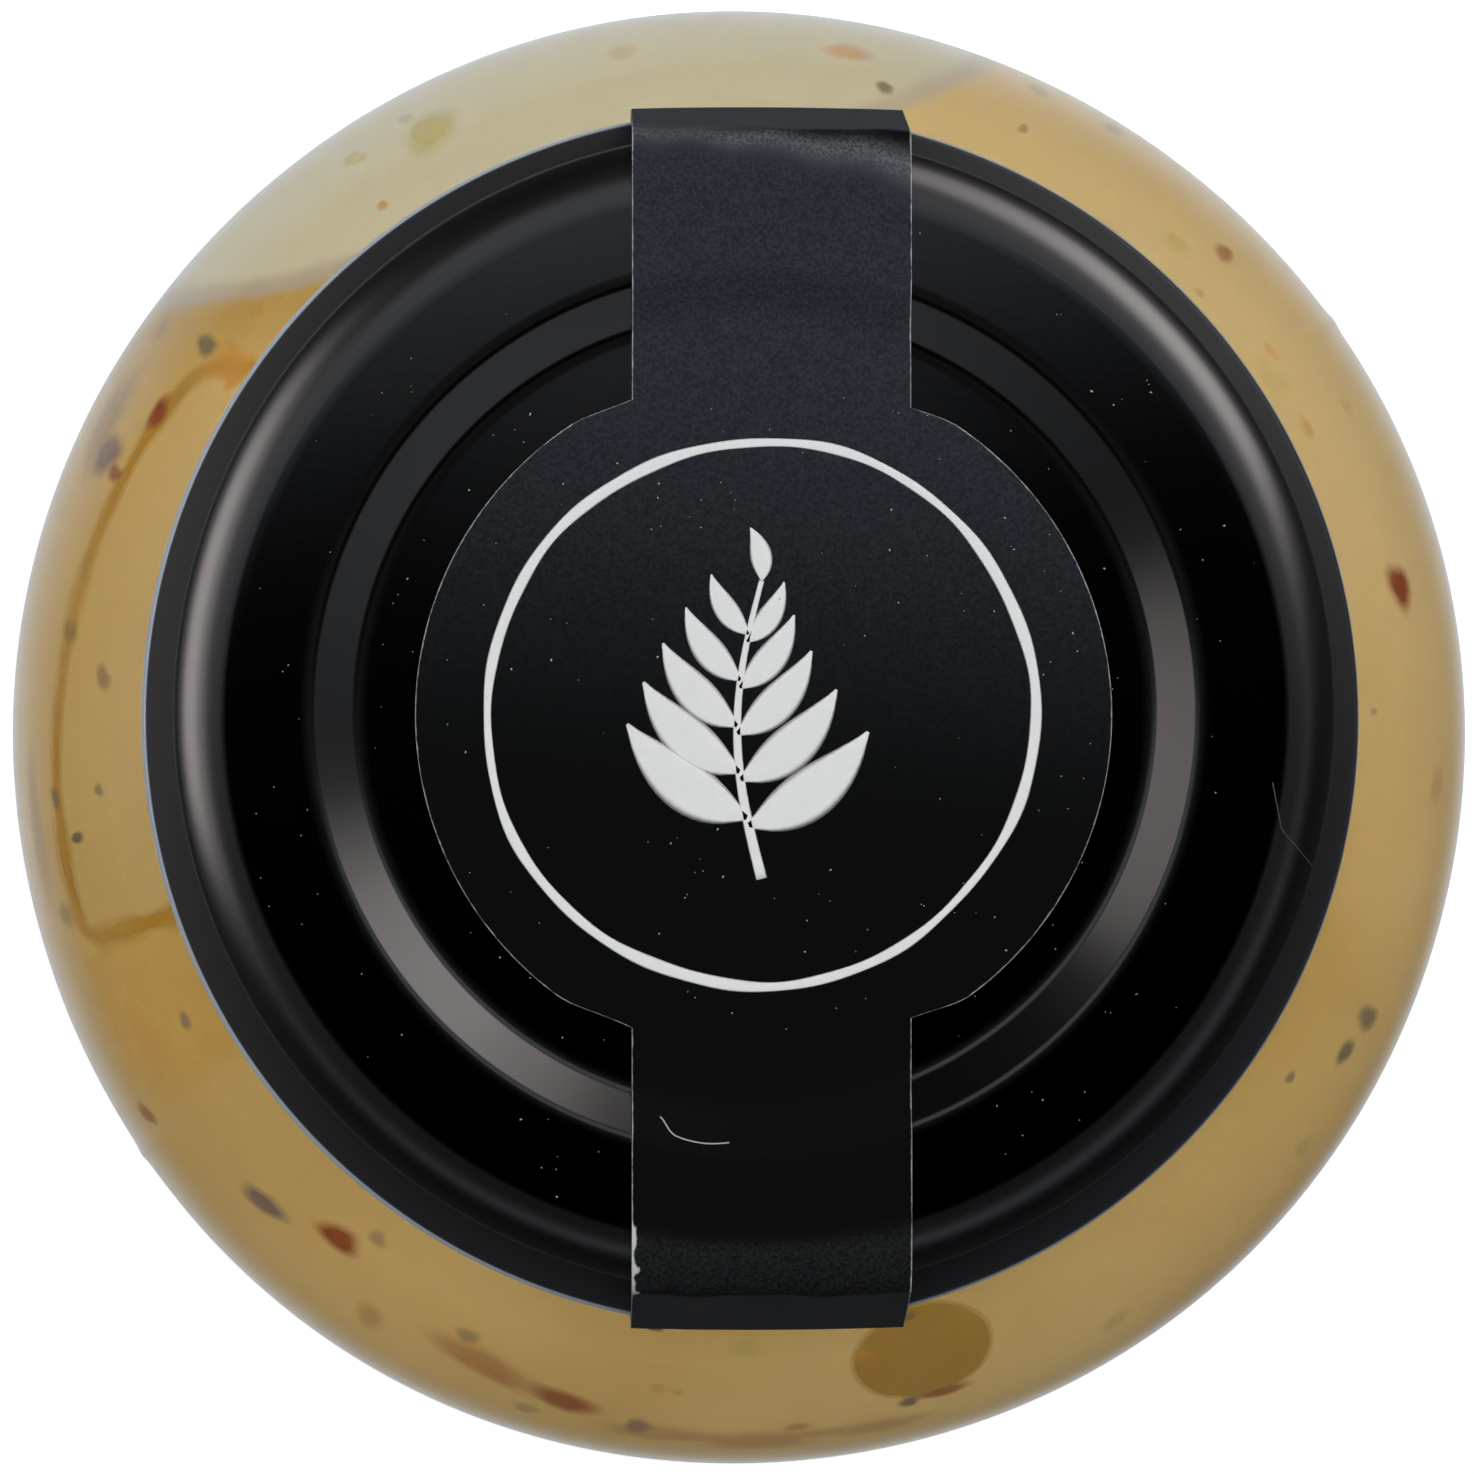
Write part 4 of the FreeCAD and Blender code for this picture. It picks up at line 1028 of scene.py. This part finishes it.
def traces():
    """What handling left: dust on the lacquer, a fibre on the strap and a hairline scratch."""
    dust, _, _ = new_material("pale_dust", Base_Color=rgb("#a3a6a6"), Roughness=0.9)
    draw = np.random.default_rng(9)
    count = 300
    far = np.sqrt(draw.uniform(0.03, 1, count)) * 19.4 * MM
    turn = draw.uniform(0, TAU, count)
    x, y = far * np.cos(turn), far * np.sin(turn)
    grains = []
    for gx, gy, gr in zip(x, y, far):
        on_strap = abs(gx - STRAP_X) < STRAP_W / 2 and gr > 12.5 * MM
        on_bevel = RING_IN - 0.5 * MM < gr < RING_OUT + 0.3 * MM
        if on_strap or on_bevel:
            continue
        paper = math.hypot(gx - DISC_X, gy - DISC_Y) < DISC_R
        z = CAP_TOP if gr > RING_OUT else PANEL_Z + (PAPER if paper else 0.03 * MM)
        size = 0.035 * MM + 0.05 * MM * draw.random() ** 3
        heading = draw.uniform(0, math.pi)
        reach = size * draw.uniform(0.5, 1.6) / 2
        ends = np.array([[-1.0], [0.0], [1.0]]) * (reach * math.cos(heading), reach * math.sin(heading), 0)
        grains.append(stroke(ends + (gx, gy, z + 0.003 * MM), np.array((0.5, 1, 0.5)) * size, size * 0.4))
    points, faces = joined(grains)
    piece("dust_grains", points, faces, dust, "cap_metal")

    share = np.linspace(0, 1, 24)
    x = (-3.5 + 2.55 * share) * MM
    way = -(15.9 + 0.25 * np.sin(2.6 * share) - 0.5 * np.exp(-((share / 0.12) ** 2))) * MM
    line = lie_on_cap(x, way) + np.array((0, 0, PAPER + 0.03 * MM))
    points, faces = stroke(line, 0.06 * MM, 0.04 * MM)
    piece("paper_fibre", points, faces, dust, "seal_paper")

    bare, _, _ = new_material("scratched_lacquer", Base_Color=rgb("#3e3e40"), Roughness=0.4)
    share = np.linspace(0, 1, 24)
    line = np.column_stack((
        np.interp(share, (0, 0.5, 1), (19.06, 19.4, 20.6)) * MM,
        np.interp(share, (0, 0.5, 1), (-2.64, -4.4, -5.75)) * MM,
        CAP_TOP + 0.002 * MM + 0 * share,
    ))
    line[:, 2] -= np.clip(np.hypot(line[:, 0], line[:, 1]) - CORNER_R, 0, None) ** 2 / (2 * CORNER)
    points, faces = stroke(line, 0.035 * MM, 0.006 * MM)
    piece("hairline_scratch", points, faces, bare, "cap_metal")


# ---- Room


def softbox(name, turn, rise, far, wide, tall, radiance, tint, mirrored):
    """A panel light that faces the cap, from an angle round the axis and one above the horizon. It
    either shows in glossy surfaces or lights the matt ones, so that each can have its own level."""
    turn, rise = math.radians(turn), math.radians(rise)
    towards = Vector((math.cos(turn) * math.cos(rise), math.sin(turn) * math.cos(rise), math.sin(rise)))
    light = bpy.data.lights.new(name, "AREA")
    light.shape = "RECTANGLE"
    light.size = wide
    light.size_y = tall
    light.energy = radiance * math.pi * wide * tall
    light.color = rgb(tint)[:3]
    lamp = bpy.data.objects.new(name, light)
    lamp.visible_diffuse = not mirrored
    lamp.visible_glossy = mirrored
    lamp.location = Vector((0, 0, CAP_TOP)) + towards * far
    lamp.rotation_euler = (-towards).to_track_quat("-Z", "Y").to_euler()
    bpy.context.scene.collection.objects.link(lamp)


def by_ray(tree, other, through, seen):
    """One value for rays that come through glass, one for those from the camera, one for others."""
    path = add(tree, "ShaderNodeLightPath").outputs
    value = add(
        tree, "ShaderNodeMix", {VALUE_B: through}, {"Factor": path["Is Transmission Ray"]},
        data_type="FLOAT",
    )
    if isinstance(other, float):
        value.inputs[VALUE_A].default_value = other
    else:
        tree.links.new(other, value.inputs[VALUE_A])
    return add(
        tree, "ShaderNodeMix", {VALUE_B: seen},
        {"Factor": path["Is Camera Ray"], VALUE_A: value.outputs[VALUE_RESULT]}, data_type="FLOAT",
    ).outputs[VALUE_RESULT]


def white_room():
    """A white sweep on all sides. What lights and mirrors: pale low down, black overhead where the
    camera hangs, a pale ceiling that begins softly behind it, and a paler wall in front."""
    world = bpy.data.worlds.new("white_room")
    bpy.context.scene.world = world
    world.use_nodes = True
    tree = world.node_tree
    towards = add(tree, "ShaderNodeTexCoord").outputs["Generated"]
    z = add(tree, "ShaderNodeSeparateXYZ", links={"Vector": towards}).outputs["Z"]
    front, back = (
        add(tree, "ShaderNodeVectorMath", {1: way}, {0: towards}, operation="DOT_PRODUCT").outputs["Value"]
        for way in ((0.34, -0.94, 0), (-0.14, 0.99, 0))
    )
    low = between(tree, z, 0.34, -0.06, 0.12)
    ceiling = add(
        tree, "ShaderNodeMath",
        links={0: between(tree, back, 0.046, 0.108, 1.17), 1: between(tree, z, 0.76, 0.9, 1.0)},
        operation="MULTIPLY",
    ).outputs[0]
    wall = add(
        tree, "ShaderNodeMath",
        links={0: between(tree, front, -0.2, 0.7, 1.1), 1: between(tree, z, 0.57, 0.68, 1.0)},
        operation="MULTIPLY",
    ).outputs[0]
    wall = add(
        tree, "ShaderNodeMath", links={0: wall, 1: between(tree, z, 0.86, 0.68, 1.0)},
        operation="MULTIPLY",
    ).outputs[0]
    shade = add(tree, "ShaderNodeMath", links={0: low, 1: ceiling}, operation="ADD").outputs[0]
    shade = add(tree, "ShaderNodeMath", links={0: shade, 1: wall}, operation="ADD").outputs[0]
    background = tree.nodes["Background"]
    tree.links.new(by_ray(tree, shade, 1.7, 1.0), background.inputs["Strength"])
    background.inputs["Color"].default_value = (0.87, 0.94, 1.03, 1)


def floor():
    """A white table, lit a little of its own so that it stays white, which keeps the bottle's shadow.
    In mirrors it is grey away from the bottle, and sooner so in front."""
    material, tree, surface = new_material("white_table", Roughness=1.0, Specular_IOR_Level=0.0)
    where = add(tree, "ShaderNodeTexCoord").outputs["Object"]
    near = add(tree, "ShaderNodeVectorMath", links={0: where}, operation="LENGTH").outputs["Value"]
    front = add(
        tree, "ShaderNodeVectorMath", {1: (0.3, -0.52, 0)}, {0: where}, operation="DOT_PRODUCT"
    ).outputs["Value"]
    beyond = add(tree, "ShaderNodeMath", links={0: near, 1: front}, operation="ADD").outputs[0]
    beyond = between(tree, beyond, 50 * MM, 170 * MM, 1.0)
    tone = layered(tree, "#e4ebf4", (by_ray(tree, beyond, 0.0, 0.0), "#5a5d62"))
    tree.links.new(tone, surface.inputs["Base Color"])
    surface.inputs["Emission Color"].default_value = (1, 1, 1, 1)
    tree.links.new(by_ray(tree, 0.0, 0.5, 0.6), surface.inputs["Emission Strength"])
    mesh = bpy.data.meshes.new("table_top")
    far = 1.5
    mesh.from_pydata([(-far, -far, 0), (far, -far, 0), (far, far, 0), (-far, far, 0)], [], [(0, 1, 2, 3)])
    mesh.materials.append(material)
    table = bpy.data.objects.new("table_top", mesh)
    bpy.context.scene.collection.objects.link(table)


def camera():
    """A long lens nearly straight over the cap, with +Y upwards in its view."""
    eye = Vector((-6.4, -10.5, 495.0)) * MM
    aim = (Vector((-0.06, 0.02, 101.6)) * MM - eye).normalized()
    right = aim.cross(Vector((0, 1, 0))).normalized()
    upright = right.cross(aim)
    lens = bpy.data.cameras.new("camera")
    lens.lens = 236.2
    lens.sensor_width = 36
    lens.clip_start = 0.01
    seen_from = bpy.data.objects.new("camera", lens)
    turned = Matrix((right, upright, -aim)).transposed().to_4x4()
    turned.translation = eye
    seen_from.matrix_world = turned
    bpy.context.scene.collection.objects.link(seen_from)
    bpy.context.scene.camera = seen_from


glass_bottle()
dressing()
herbs_and_vegetables()
oil_drops()
oil_film()
cap()
seal()
ink_material = white_ink()
print_ring(ink_material)
print_sprig(ink_material)
traces()

white_room()
floor()
softbox("left_softbox", 166, 24, 0.60, 0.52, 0.28, 4.6, "#fcf3f1", True)
softbox("left_glow", 170, 33, 0.62, 0.42, 0.42, 3.4, "#fcf3f1", True)
softbox("right_softbox", 53, 30, 0.60, 0.52, 0.30, 5.0, "#fcf3f1", True)
softbox("right_glow", 41, 33, 0.62, 0.38, 0.42, 2.2, "#fcf3f1", True)
softbox("right_core", 38, 36, 0.64, 0.22, 0.34, 2.0, "#fcf3f1", True)
softbox("left_fill", 169, 31, 0.6, 0.52, 0.50, 0.45, "#fffaf4", False)
softbox("right_fill", 45, 31, 0.6, 0.50, 0.50, 1.0, "#fffaf4", False)
softbox("top_fill", 90, 84, 1.2, 1.0, 1.0, 3.4, "#ffffff", False)
camera()

bpy.context.scene.view_settings.view_transform = "Standard"
